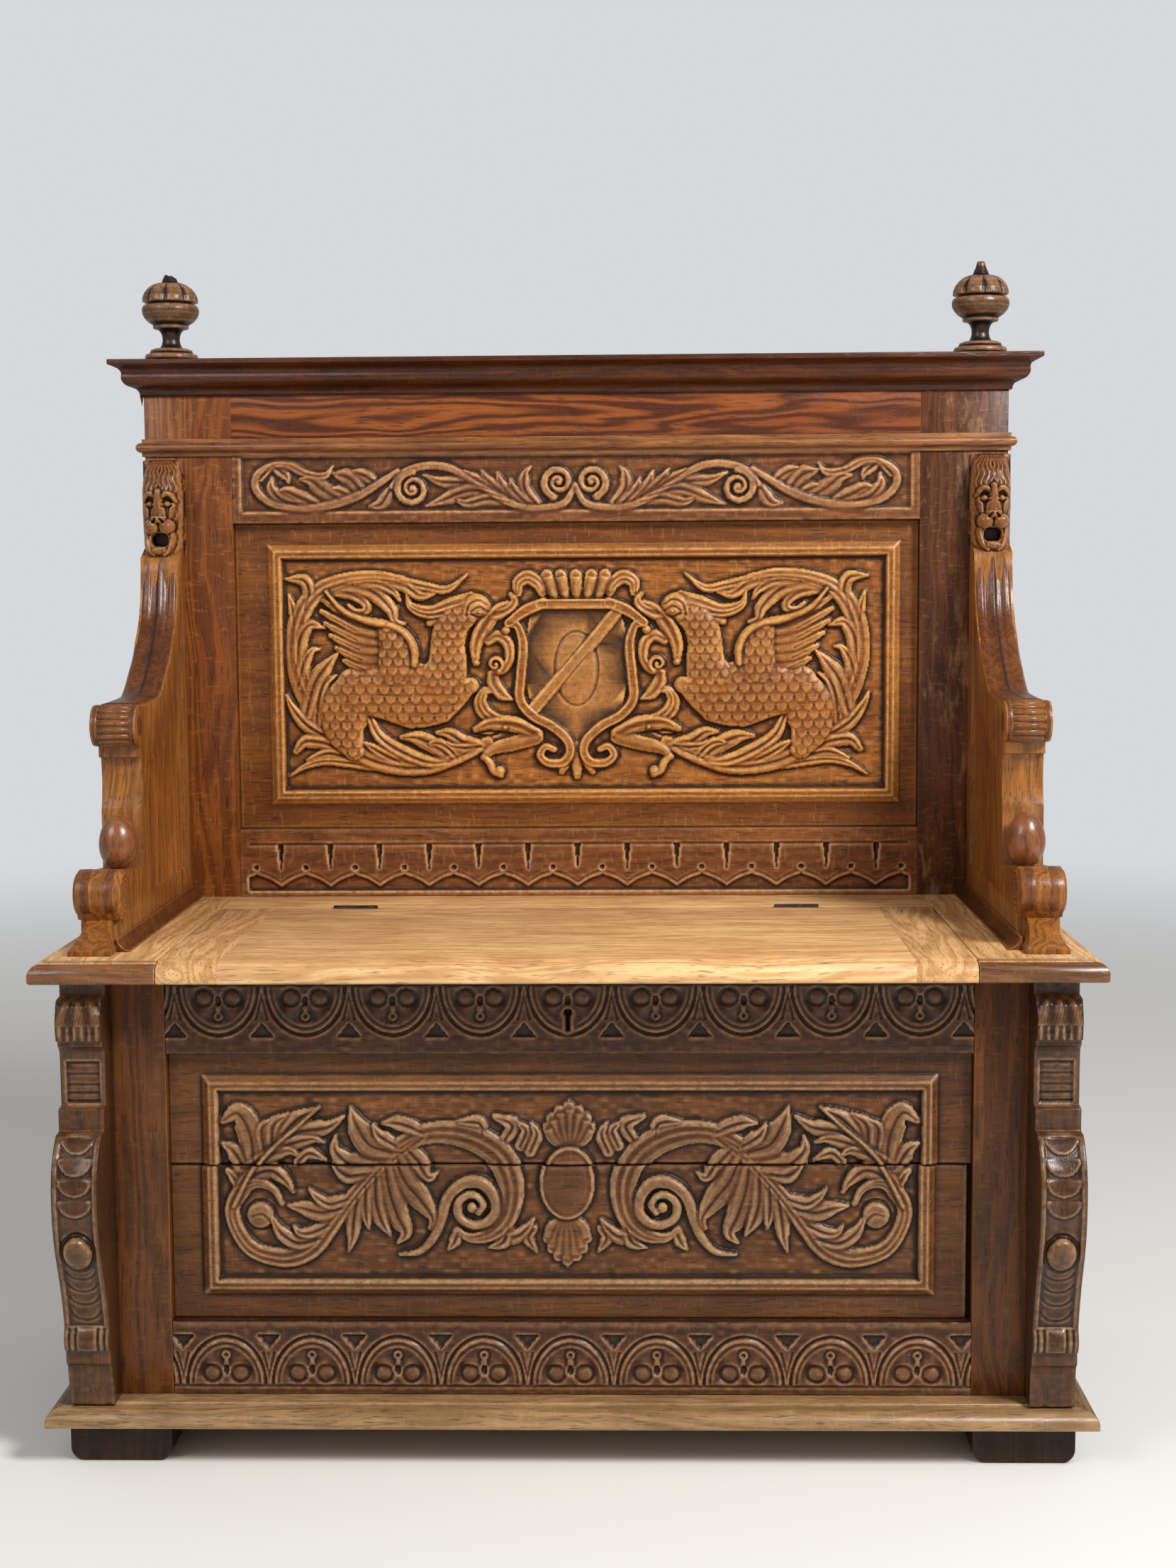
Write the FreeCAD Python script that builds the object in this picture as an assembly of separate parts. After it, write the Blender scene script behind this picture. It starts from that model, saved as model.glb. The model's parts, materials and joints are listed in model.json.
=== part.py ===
import FreeCAD, Part
import math
import os

Vector = FreeCAD.Vector

# A carved oak settle: a box seat with a hinged lid, on a plinth and four block feet,
# with shaped arms and a framed back that ends in a cornice and two turned finials.
# Millimetres. X runs to the sitter's left hand side seen from the front, the front faces -Y,
# and Z runs up from the floor. Depths are measured back from the front edge of the seat.

# Overall widths, outer face to outer face
seat_width = 1060.0
plinth_width = 1064.0
chest_width = 1017.0
back_width = 996.0

# Depths behind the seat's front edge
chest_face = 66.0
rear_face = 476.0
console_belly = 13.0
plinth_overhang = 44.0
foot_overhang = 16.0

# Heights, stacked up from the floor
foot_height = 44.5
plinth_height = 20.0
chest_height = 439.5
seat_thick = 22.0
back_bottom_rail_height = 80.0
back_panel_height = 357.0
back_top_rail_height = 78.0
string_height = 20.0
frieze_height = 49.0
cornice_height = 34.0
cap_thick = 6.0

# Box carcass
stile_width = 99.5
front_frame_thick = 30.0
rear_frame_thick = 24.0
side_frame_thick = 22.0
chest_bottom_rail_height = 77.5
chest_top_rail_height = 84.0
tenon_length = 34.0
tenon_thick = 9.0
tenon_shoulder = 10.0
groove_deep = 8.5
groove_wide = 8.0
plain_panel_thick = 10.0
plain_panel_recess = 6.0
floor_board_thick = 12.0
floor_board_gap = 1.0
rear_post_thick = 30.0

# Carved boards that sit sunk in their frames, with a raised moulded border
board_recess = 12.0
board_tongue = 5.0
board_front_cheek = 3.0
board_rear_cheek = 2.0
border_bevel = 8.0
border_rim = 7.0
border_slope = 4.0
border_rise = 6.5
border_sink = 2.0
chest_border_side = 34.0
chest_border_above = 23.0
chest_border_below = 24.5
crack_height = 161.0
crack_wide = 1.0
lower_board_slip = 2.5
back_border_side = 29.5
back_border_above = 24.0
back_border_below = 28.0
back_border_shift = 8.5

# Plinth and feet
plinth_board_wide = 110.0
plinth_quirk = 2.0
plinth_quirk_in = 22.0
plinth_round = 13.0
foot_width = 104.0
foot_deep = 84.0
foot_corner = 14.0
foot_side_step = 4.5

# Seat boards and the hinged lid
lid_opening_half = 403.5
lid_side_gap = 1.0
lid_depth = 348.0
lid_rear_gap = 1.6
lid_rest_gap = 0.3
cleat_width = 60.0
board_spline_thick = 7.0
board_spline_long = 14.0
edge_round = 12.0
edge_quirk = 2.0
edge_quirk_in = 14.0
edge_under_round = 3.0

# Butt hinges between the lid and the fixed board behind it
hinge_place = 250.0
hinge_long = 50.0
hinge_leaf_thick = 1.6
hinge_leaf_high = 17.0
hinge_barrel_radius = 3.2
hinge_pin_radius = 1.5
hinge_pin_clearance = 0.05
hinge_knuckles = 3
knuckle_gap = 0.25
barrel_clearance = 0.5
hinge_screw_radius = 1.8
hinge_screw_long = 15.0

# Lock behind the keyhole
keyhole_height = 390.0
keyhole_wide = 7.0
keyhole_high = 22.0
lock_wide = 70.0
lock_deep = 14.0
lock_below_key = 22.0
lock_wall = 1.6
lock_plate_lip = 7.0
lock_plate_thick = 2.0
bolt_wide = 20.0
bolt_thick = 6.0
bolt_throw = 8.0
bolt_clearance = 0.3
bolt_talon = 9.0
key_pin_radius = 2.0
catch_thick = 2.0
catch_border = 9.0
screw_head_ratio = 1.7
screw_sides = 6
lock_screw_radius = 1.6
lock_screw_long = 9.0

# Consoles on the front corners of the box
console_width = 45.5
console_field_sink = 2.0
console_field_edge = 5.0
boss_radius = 15.0
boss_stretch = 1.24
boss_rise = 24.0
boss_foot = 55.0
boss_sides = 16
boss_height = 166.0
shaft_out = 30.0
shaft_high = 84.0
shaft_low = 130.0
block_out = 42.0
block_high = 23.0
swell_out = 54.0
waist_out = 63.0
waist_high = 151.0
upper_groove_count = 5
upper_groove_pitch = 9.0
bead_rise = 4.0
belly_high = 232.0
belly_low = 222.0

# Arms
arm_thick = 43.0
arm_top_gap = 4.0
arm_roll_radius = 21.5
arm_roll_depth = 180.0
arm_roll_height = 221.0
arm_roll_width = 48.0
arm_reeds = 16
arm_reed_sink = 1.8
arm_roll_rim = 7.0
scroll_radius = 25.0
scroll_depth = 95.0
scroll_height = 55.0
scroll_width = 49.0
scroll_bevel = 4.0
egg_half_wide = 19.5
egg_half_high = 29.0
egg_rise = 38.0
egg_height = 98.0
egg_depth = 190.0
egg_sides = 12
arm_field_sink = 4.0
arm_foot_narrow = 27.0
arm_cove = 14.0
arm_cove_fillet = 2.0
arm_cove_start = 62.0
mask_half_wide = 24.0
mask_high = 124.0
arm_field_rise = 96.0
arm_field_edge = 34.0
arm_field_reach = 130.0

# Framed back
back_stile_width = 100.0
back_frame_thick = 36.0
back_rail_thick = 26.0
back_stile_tenon = 60.0
back_stile_tenon_wide = 50.0
back_stile_tenon_cheek = 3.0
string_projection = 9.0
string_fillet = 3.0
cornice_projection = 34.0
notch_count = 13
notch_pitch = 58.3
notch_wide = 6.5
notch_high = 30.0
notch_deep = 4.0

# Finials
finial_place = 465.5
finial_behind_face = 5.5
finial_spigot_radius = 5.0
finial_spigot_long = 24.0
finial_facets = 8
finial_sides = 16
finial_cup_radius = 32.5
stem_high = 66.5
dome_high = 22.5
tip_high = 15.5
tip_radius = 5.0

# Levels and faces that follow from the sizes above
plinth_top = foot_height + plinth_height
chest_top = plinth_top + chest_height
seat_top = chest_top + seat_thick
back_panel_low = seat_top + back_bottom_rail_height
back_panel_high = back_panel_low + back_panel_height
string_low = back_panel_high + back_top_rail_height
frieze_low = string_low + string_height
cornice_low = frieze_low + frieze_height
arm_height = string_low - arm_top_gap - seat_top
cap_low = cornice_low + cornice_height
cap_top = cap_low + cap_thick
dome_low = cap_top + stem_high
dome_top = dome_low + dome_high
chest_half = chest_width / 2.0
chest_inner = chest_half - stile_width
back_half = back_width / 2.0
back_inner = back_half - back_stile_width
back_face = rear_face - back_frame_thick
finial_depth = back_face + finial_behind_face
plinth_front = chest_face - plinth_overhang
panel_low = plinth_top + chest_bottom_rail_height
panel_high = chest_top - chest_top_rail_height
chest_middle = (rear_face - console_belly) / 2.0
key_level = plinth_top + keyhole_height
lid_half = lid_opening_half - lid_side_gap
rear_board_front = lid_depth + lid_rear_gap
hinge_depth = lid_depth + lid_rear_gap / 2.0
front_frame_rear = chest_face + front_frame_thick
rear_post_front = rear_face - rear_post_thick


def row(depth):
    """Y of a place that lies so far behind the front edge of the seat."""
    return depth - chest_middle


def side(depth, z):
    return Vector(0.0, row(depth), z)


def front(x, z):
    return Vector(x, 0.0, z)


def plan(x, depth):
    return Vector(x, row(depth), 0.0)


def block(x_range, depth_range, z_range):
    size = (x_range[1] - x_range[0], depth_range[1] - depth_range[0], z_range[1] - z_range[0])
    corner = Vector(x_range[0], row(depth_range[0]), z_range[0])
    return Part.makeBox(size[0], size[1], size[2], corner)


def centred_block(x, width, depth_range, z_range):
    return block((x - width / 2.0, x + width / 2.0), depth_range, z_range)


def outline(start, steps, view):
    """A closed face. A step of one point is a straight line, two points are an arc through
    the first of them, and three or more are one smooth curve through them all."""
    edges = []
    here = start
    for step in steps:
        if len(step) == 1:
            edges.append(Part.makeLine(view(*here), view(*step[0])))
        elif len(step) == 2:
            edges.append(Part.Arc(view(*here), view(*step[0]), view(*step[1])).toShape())
        else:
            curve = Part.BSplineCurve()
            curve.interpolate([view(*point) for point in [here] + step])
            edges.append(curve.toShape())
        here = step[-1]
    if view(*here).distanceToPoint(view(*start)) > 0.001:
        edges.append(Part.makeLine(view(*here), view(*start)))
    return Part.Face(Part.Wire(edges))


def run_along_x(face, x_low, x_high):
    moved = face.translated(Vector(x_low, 0.0, 0.0))
    return moved.extrude(Vector(x_high - x_low, 0.0, 0.0))


def run_along_depth(face, depth_low, depth_high):
    moved = face.translated(Vector(0.0, row(depth_low), 0.0))
    return moved.extrude(Vector(0.0, depth_high - depth_low, 0.0))


def rod_along_x(x_low, x_high, depth, z, radius):
    return Part.makeCylinder(radius, x_high - x_low, Vector(x_low, row(depth), z), Vector(1.0, 0.0, 0.0))


def rod_along_depth(x, depth_low, depth_high, z, radius):
    start = Vector(x, row(depth_low), z)
    return Part.makeCylinder(radius, depth_high - depth_low, start, Vector(0.0, 1.0, 0.0))


def tapered(start, axis, rings, sides, stretch=1.0):
    """A body with flat sides along an axis: its rings are given as (reach, radius), and the
    stretch makes them taller than they are wide."""
    across = Vector(1.0, 0.0, 0.0)
    upward = axis.cross(across) * stretch
    rows = []
    for reach, radius in rings:
        corners = []
        for index in range(sides):
            angle = 2.0 * math.pi * index / sides
            corner = start + axis * reach + across * (radius * math.cos(angle))
            corners.append(corner + upward * (radius * math.sin(angle)))
        rows.append(corners + corners[:1])
    faces = [Part.Face(Part.makePolygon(rows[0])), Part.Face(Part.makePolygon(rows[-1]))]
    for near, far in zip(rows, rows[1:]):
        for index in range(sides):
            corners = [near[index], near[index + 1], far[index + 1], far[index], near[index]]
            faces.append(Part.Face(Part.makePolygon(corners)))
    solid = Part.Solid(Part.Shell(faces))
    if solid.Volume < 0.0:
        solid.reverse()
    return solid


def screw(start, axis, radius, head_high, length):
    """A countersunk screw; its hole is cut with the same form."""
    head = tapered(start, axis, [(0.0, radius * screw_head_ratio), (head_high, radius)], screw_sides)
    shank = tapered(start, axis, [(head_high, radius), (length, radius)], screw_sides)
    return joined([head, shank])


def mirrored(shape):
    return shape.mirror(Vector(0.0, 0.0, 0.0), Vector(1.0, 0.0, 0.0))


def joined(shapes):
    first = shapes[0]
    if len(shapes) == 1:
        return first
    return first.fuse(shapes[1:]).removeSplitter()


def without(shape, cutters):
    return shape.cut(cutters)


def save(name, solids):
    """One sub-part, as one solid or as a group of separate ones."""
    pieces = []
    for shape in solids:
        pieces.extend(shape.Solids)
    whole = pieces[0] if len(pieces) == 1 else Part.makeCompound(pieces)
    whole.exportStep("parts/" + name + ".step")


def save_pair(name, shape):
    """A piece of the right hand side and its mirror image on the left."""
    save(name + "_right", [shape])
    save(name + "_left", [mirrored(shape)])


def mitre_wedge(x, depth, z_range):
    """The ground outside the diagonal that runs back and inward from a front corner."""
    far = seat_width
    face = outline((x, depth), [[(x + far, depth - far)], [(x + far, depth + 2 * far)],
                                [(x - 2 * far, depth + 2 * far)]], plan)
    raised = face.translated(Vector(0.0, 0.0, z_range[0] - 1.0))
    return raised.extrude(Vector(0.0, 0.0, z_range[1] - z_range[0] + 2.0))


def moulding_round_front(profile_steps, start, body_half, face_depth, end_depth, z_range):
    """A moulding along the front with a mitred return at each end. The profile is written as
    (projection, level) and is the same on all three runs."""
    reach = max(point[0] for step in profile_steps for point in step)
    along_front = outline(start, profile_steps, lambda out, z: side(face_depth - out, z))
    along_side = outline(start, profile_steps, lambda out, z: front(body_half + out, z))
    front_run = run_along_x(along_front, -body_half - reach - 1.0, body_half + reach + 1.0)
    side_run = run_along_depth(along_side, face_depth - reach - 1.0, end_depth)
    wedge = mitre_wedge(body_half, face_depth, z_range)
    front_run = front_run.cut(wedge).cut(mirrored(wedge))
    side_run = side_run.common(wedge)
    return [front_run, side_run, mirrored(side_run)]


def foot(depth_low):
    """A block foot whose two lower corners are rounded off to the sides."""
    outer = chest_half + foot_side_step
    inner = outer - foot_width
    bend = foot_corner * (1.0 - math.sqrt(0.5))
    face = outline((inner, foot_height), [
        [(inner, foot_corner)],
        [(inner + bend, bend), (inner + foot_corner, 0.0)],
        [(outer - foot_corner, 0.0)],
        [(outer - bend, bend), (outer, foot_corner)],
        [(outer, foot_height)]], front)
    return run_along_depth(face, depth_low, depth_low + foot_deep)


def feet():
    save_pair("foot_front", foot(chest_face - foot_overhang))
    save_pair("foot_rear", foot(rear_face - foot_deep))


def plinth_edge_cutter(view):
    """What is cut from the outer top edge: a quarter round, a flat and a small step up."""
    top = plinth_top - plinth_quirk
    bend = plinth_round * (1.0 - math.sqrt(0.5))
    return outline((-1.0, plinth_top + 1.0), [
        [(-1.0, top - plinth_round)],
        [(0.0, top - plinth_round)],
        [(bend, top - bend), (plinth_round, top)],
        [(plinth_quirk_in, top)],
        [(plinth_quirk_in, plinth_top + 1.0)]], view)


def plinth():
    """Four flat boards under the box, mitred at the front, with a moulded outer edge."""
    half = plinth_width / 2.0
    levels = (foot_height, plinth_top)
    wedge = mitre_wedge(half, plinth_front, levels)
    front_cutter = plinth_edge_cutter(lambda inward, z: side(plinth_front + inward, z))
    side_cutter = plinth_edge_cutter(lambda inward, z: front(half - inward, z))
    front_board = block((-half, half), (plinth_front, plinth_front + plinth_board_wide), levels)
    front_board = front_board.cut(run_along_x(front_cutter, -half - 1.0, half + 1.0))
    front_board = front_board.cut(wedge).cut(mirrored(wedge))
    side_board = block((half - plinth_board_wide, half), (plinth_front, rear_face), levels)
    side_board = side_board.cut(run_along_depth(side_cutter, plinth_front - 1.0, rear_face + 1.0))
    side_board = side_board.common(wedge)
    inner = half - plinth_board_wide
    rear_board = block((-inner, inner), (rear_face - plinth_board_wide, rear_face), levels)
    save("plinth_front", [front_board])
    save_pair("plinth_side", side_board)
    save("plinth_rear", [rear_board])


def rail_with_tenons(inner, depth_range, z_range, tenon_depth, tenon_levels):
    body = block((-inner, inner), depth_range, z_range)
    tenons = block((-inner - tenon_length, inner + tenon_length), tenon_depth, tenon_levels)
    return joined([body, tenons])


def side_rail_with_tenons(depth_range, z_range, tenon_levels, tenon_x):
    body = block((chest_half - side_frame_thick, chest_half), depth_range, z_range)
    reach = (depth_range[0] - side_tenon_long(), depth_range[1] + side_tenon_long())
    return joined([body, block(tenon_x, reach, tenon_levels)])


def side_tenon_long():
    """The side rails' tenons stop short of the back of the posts they enter."""
    return min(front_frame_thick, rear_post_thick) - tenon_thick


def front_tenon_depth():
    rear = front_frame_rear - tenon_thick
    return (rear - tenon_thick, rear)


def rear_tenon_depth():
    middle = rear_face - rear_frame_thick / 2.0
    return (middle - tenon_thick / 2.0, middle + tenon_thick / 2.0)


def top_tenon_levels():
    return (panel_high + groove_deep + 3.0, chest_top - tenon_shoulder)


def bottom_tenon_levels():
    return (plinth_top + tenon_shoulder, panel_low - groove_deep - 3.0)


def front_groove_depth():
    low = chest_face + board_recess + board_front_cheek
    return (low, low + groove_wide)


def rear_groove_depth():
    low = rear_face - rear_frame_thick + plain_panel_recess
    return (low, low + plain_panel_thick)


def side_groove_x():
    high = chest_half - plain_panel_recess
    return (high - plain_panel_thick, high)


def panel_levels(reach):
    return (panel_low - reach, panel_high + reach)


def keyhole_cutter(depth_range):
    """A slot with a round head and foot."""
    x_half = keyhole_wide / 2.0
    straight = keyhole_high / 2.0 - x_half
    low = key_level - straight
    high = key_level + straight
    face = outline((-x_half, low), [
        [(-x_half, high)],
        [(0.0, high + x_half), (x_half, high)],
        [(x_half, low)],
        [(0.0, low - x_half), (-x_half, low)]], front)
    return run_along_depth(face, depth_range[0], depth_range[1])


def lock_levels():
    return (key_level - lock_below_key, chest_top - 1.0)


def lock_plate_range():
    levels = lock_levels()
    return (levels[0] - lock_plate_lip, chest_top - 1.0)


def bolt_slot_depth():
    """The bolt lies midway in the lock's case."""
    middle = front_frame_rear - lock_deep / 2.0
    return (middle - bolt_thick / 2.0, middle + bolt_thick / 2.0)


def bolt_mouth(z_range):
    """The slot that the bolt passes, a running clearance larger all round."""
    depth = bolt_slot_depth()
    wide = bolt_wide + 2 * bolt_clearance
    return centred_block(0.0, wide, (depth[0] - bolt_clearance, depth[1] + bolt_clearance), z_range)


def box_frame():
    """Corner stiles and posts, and the rails between them, held by mortises and tenons."""
    stile = block((chest_inner, chest_half), (chest_face, front_frame_rear), (plinth_top, chest_top))
    post = block((chest_inner, chest_half), (rear_post_front, rear_face), (plinth_top, chest_top))
    front_levels = (plinth_top, panel_low), (panel_high, chest_top)
    depth_front = (chest_face, front_frame_rear)
    depth_rear = (rear_face - rear_frame_thick, rear_face)
    tenons = bottom_tenon_levels(), top_tenon_levels()
    names = "bottom", "top"

    long_groove = block((-chest_inner - groove_deep, chest_inner + groove_deep),
                        front_groove_depth(), panel_levels(groove_deep))
    rear_groove = block((-chest_inner - groove_deep, chest_inner + groove_deep),
                        rear_groove_depth(), panel_levels(groove_deep))
    side_groove = block(side_groove_x(), (front_frame_rear - groove_deep, rear_post_front + groove_deep),
                        panel_levels(groove_deep))
    side_tenon_x = (chest_half - side_frame_thick, side_groove_x()[1])
    lock_pocket = centred_block(0.0, lock_wide, (front_frame_rear - lock_deep, front_frame_rear + 1.0),
                                (lock_levels()[0], chest_top + 1.0))
    plate_pocket = centred_block(0.0, lock_wide + 2 * lock_plate_lip,
                                 (front_frame_rear - lock_plate_thick, front_frame_rear + 1.0),
                                 (lock_plate_range()[0], chest_top + 1.0))
    keyhole = keyhole_cutter((chest_face - 1.0, front_frame_rear))

    for index in range(2):
        rail = rail_with_tenons(chest_inner, depth_front, front_levels[index],
                                front_tenon_depth(), tenons[index])
        stile = stile.cut(rail)
        rail = rail.cut(long_groove)
        if names[index] == "top":
            rail = without(rail, [lock_pocket, plate_pocket, keyhole])
            rail = without(rail, lock_screws())
        save("chest_front_rail_" + names[index], [rail])

        back_rail = rail_with_tenons(chest_inner, depth_rear, front_levels[index],
                                     rear_tenon_depth(), tenons[index])
        post = post.cut(back_rail)
        save("chest_rear_rail_" + names[index], [back_rail.cut(rear_groove)])

        side_rail = side_rail_with_tenons((front_frame_rear, rear_post_front), front_levels[index],
                                          tenons[index], side_tenon_x)
        stile = stile.cut(side_rail)
        post = post.cut(side_rail)
        save_pair("chest_side_rail_" + names[index], side_rail.cut(side_groove))

    stile = without(stile, [long_groove, side_groove])
    post = without(post, [rear_groove, side_groove, back_stile_tenon_block()])
    save_pair("chest_front_stile", stile)
    save_pair("chest_rear_post", post)


def plain_panels():
    """Flat panels in the grooves of the two ends and of the back of the box."""
    fit = groove_deep - 1.0
    side_panel = block(side_groove_x(), (front_frame_rear - fit, rear_post_front + fit), panel_levels(fit))
    save_pair("chest_side_panel", side_panel)
    rear_panel = block((-chest_inner - fit, chest_inner + fit), rear_groove_depth(), panel_levels(fit))
    save("chest_rear_panel", [rear_panel])


def chest_floor():
    """Three loose boards on the plinth, the outer two notched round the corner posts."""
    half = chest_half - side_frame_thick
    start = front_frame_rear
    end = rear_face - rear_frame_thick
    each = (end - start - 2 * floor_board_gap) / 3.0
    levels = (plinth_top, plinth_top + floor_board_thick)
    posts = block((chest_inner, chest_half), (rear_post_front, rear_face), levels)
    boards = []
    for index in range(3):
        low = start + index * (each + floor_board_gap)
        board = block((-half, half), (low, low + each), levels)
        boards.append(without(board, [posts, mirrored(posts)]))
    save("chest_floor", boards)


def rectangle(x_range, depth, z_range):
    corners = [Vector(x_range[0], row(depth), z_range[0]), Vector(x_range[1], row(depth), z_range[0]),
               Vector(x_range[1], row(depth), z_range[1]), Vector(x_range[0], row(depth), z_range[1])]
    return Part.makePolygon(corners + [corners[0]])


def inset(limits, amount):
    return (limits[0] + amount, limits[1] - amount)


def frustum(x_range, z_range, depth_wide, depth_narrow, amount):
    wide = rectangle(x_range, depth_wide, z_range)
    narrow = rectangle(inset(x_range, amount), depth_narrow, inset(z_range, amount))
    return Part.makeLoft([wide, narrow], True, True)


def bordered_board(half, z_range, face, groove_depth, rear, border_x, border_z, margin):
    """A board with a raised bevelled border round a field cut down below the margin,
    and a tongue on all four edges."""
    body = block((-half + margin, half - margin), (face, rear), z_range)
    tongue = block((-half - board_tongue, half + board_tongue), groove_depth,
                   (z_range[0] - board_tongue, z_range[1] + board_tongue))
    crown = face - border_rise
    raised = frustum(border_x, border_z, face, crown, border_bevel)
    field_x = inset(border_x, border_bevel + border_rim)
    field_z = inset(border_z, border_bevel + border_rim)
    field = frustum(field_x, field_z, crown, face + border_sink, border_slope)
    return joined([body, tongue, raised]).cut(field)


def chest_front_boards():
    """The carved front is two boards with an open joint between them. The lower one has
    slipped a little to the left in its grooves."""
    face = chest_face + board_recess
    rear = front_frame_rear - board_rear_cheek
    border_x = (-chest_inner + chest_border_side, chest_inner - chest_border_side)
    border_z = (panel_low + chest_border_below, panel_high - chest_border_above)
    board = bordered_board(chest_inner, (panel_low, panel_high), face, front_groove_depth(), rear,
                           border_x, border_z, lower_board_slip)
    crack = panel_low + crack_height
    far = chest_width
    above = block((-far, far), (0.0, rear_face), (crack + crack_wide / 2.0, chest_top))
    below = block((-far, far), (0.0, rear_face), (plinth_top, crack - crack_wide / 2.0))
    save("chest_front_board_upper", [board.common(above)])
    save("chest_front_board_lower", [board.common(below).translated(Vector(-lower_board_slip, 0.0, 0.0))])


def swell_middle(point, apex):
    """A point midway on the arc from a place to the apex of a swelling, upright at the apex."""
    centre = (point[0] ** 2 - apex[0] ** 2 + (point[1] - apex[1]) ** 2) / (2.0 * (point[0] - apex[0]))
    level = (point[1] + apex[1]) / 2.0
    radius = centre - apex[0]
    return (centre - math.sqrt(radius ** 2 - (level - apex[1]) ** 2), level)


def console_outline():
    """Side view of the console, from the top: a plain neck, a leaf cap, a hollow, a straight
    shaft, a square block, a swelling S and a stepped base."""
    top = chest_top
    low = plinth_top
    ahead = chest_face
    swell_start = (ahead - swell_out, top - shaft_low - block_high - 1.0)
    apex_high = (-console_belly, low + belly_high)
    apex_low = (-console_belly, low + belly_low)
    waist = (ahead - waist_out, low + waist_high)
    bead_top = (ahead - 44.0, low + 87.0)
    steps = [
        [(ahead - 25.0, top)],
        [(ahead - 25.0, top - 19.0)],
        [(ahead - 40.0, top - 20.0)],
        [(ahead - 48.0, top - 42.0), (ahead - 45.0, top - 62.0)],
        [(ahead - 38.0, top - 62.0)],
        [(ahead - 38.0, top - 68.0)],
        [(ahead - 32.0, top - 72.0), (ahead - shaft_out + 0.5, top - 81.0)],
        [(ahead - shaft_out, top - shaft_low)],
        [(ahead - block_out, top - shaft_low)],
        [(ahead - block_out, top - shaft_low - block_high)],
        [swell_start],
        [swell_middle(swell_start, apex_high), apex_high],
        [apex_low],
        [swell_middle(waist, apex_low), waist],
        [((waist[0] + bead_top[0]) / 2.0 + 2.0, (waist[1] + bead_top[1]) / 2.0), bead_top],
        [(ahead - 44.0, low + 85.0)],
        [(ahead - 44.0 - bead_rise, low + 73.0), (ahead - 44.0, low + 61.0)],
        [(ahead - 40.0, low + 60.0)],
        [(ahead - 40.0, low + 47.0)],
        [(ahead - 35.0, low + 42.0)],
        [(ahead - 30.0, low + 12.0)],
        [(ahead - 30.0, low)],
        [(ahead, low)]]
    return outline((ahead, top), steps, side)


def console():
    """A console bracket, glued on the outer part of the stile."""
    outer = chest_half
    inner = outer - console_width
    middle = outer - console_width / 2.0
    body = run_along_x(console_outline(), inner, outer)
    shaft_front = chest_face - shaft_out
    grooves = []
    field = (inner + console_field_edge, outer - console_field_edge)
    for index in range(upper_groove_count):
        level = chest_top - shaft_high - 6.0 - index * upper_groove_pitch
        grooves.append(block(field, (shaft_front - 2.0, shaft_front + console_field_sink),
                             (level - 1.0, level + 1.0)))
    grooves.append(block(field,
                         (shaft_front - 2.0, shaft_front + console_field_sink * 0.5),
                         (chest_top - shaft_low + 2.0, chest_top - shaft_high)))
    body = body.cut(grooves)
    boss_level = plinth_top + boss_height
    start = Vector(middle, row(chest_face - boss_foot), boss_level)
    boss = tapered(start, Vector(0.0, -1.0, 0.0), [
        (0.0, boss_radius), (boss_rise * 0.45, boss_radius * 0.94), (boss_rise * 0.8, boss_radius * 0.72),
        (boss_rise, boss_radius * 0.38)], boss_sides, boss_stretch)
    return joined([body, boss])


def consoles():
    save_pair("console", console())


def thumb_edge_cutter(view):
    """What is cut from a seat board's edge: rounded nose, small step and eased underside."""
    top = seat_top - edge_quirk
    bend = edge_round * (1.0 - math.sqrt(0.5))
    return outline((-1.0, seat_top + 1.0), [
        [(-1.0, top - edge_round)],
        [(0.0, top - edge_round)],
        [(bend, top - bend), (edge_round, top)],
        [(edge_quirk_in, top)],
        [(edge_quirk_in, seat_top + 1.0)]], view)


def under_edge_cutter(view):
    low = chest_top
    bend = edge_under_round * (1.0 - math.sqrt(0.5))
    return outline((-1.0, low - 1.0), [
        [(edge_under_round, low - 1.0)],
        [(edge_under_round, low)],
        [(bend, low + bend), (0.0, low + edge_under_round)],
        [(-1.0, low + edge_under_round)]], view)


def front_edge_cutters(x_low, x_high):
    def from_front(inward, z):
        return side(inward, z)
    return [run_along_x(thumb_edge_cutter(from_front), x_low, x_high),
            run_along_x(under_edge_cutter(from_front), x_low, x_high)]


def seat_boards():
    """The fixed boards: one at each end and one behind the lid, tongued into both."""
    half = seat_width / 2.0
    levels = (chest_top, seat_top)
    middle = (chest_top + seat_top) / 2.0
    tongue = (middle - board_spline_thick / 2.0, middle + board_spline_thick / 2.0)

    def from_side(inward, z):
        return front(half - inward, z)
    end_board = block((lid_opening_half, half), (0.0, rear_face), levels)
    cutters = front_edge_cutters(lid_opening_half - 1.0, half + 1.0)
    cutters.append(run_along_depth(thumb_edge_cutter(from_side), -1.0, rear_face + 1.0))
    cutters.append(run_along_depth(under_edge_cutter(from_side), -1.0, rear_face + 1.0))
    rear_board = block((-lid_opening_half, lid_opening_half), (rear_board_front, rear_face), levels)
    rear_tongue = block((-lid_opening_half - board_spline_long, lid_opening_half + board_spline_long),
                        (rear_board_front + tenon_shoulder, rear_face - tenon_shoulder), tongue)
    rear_board = joined([rear_board, rear_tongue])
    cutters.append(rear_tongue)
    cutters.append(back_stile_tenon_block())
    save_pair("seat_end", end_board.cut(cutters))
    save("seat_rear_board", [without(rear_board, hinge_pockets(rear_board_front, 1.0))])


def lid_levels():
    return (chest_top + lid_rest_gap, seat_top)


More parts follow.
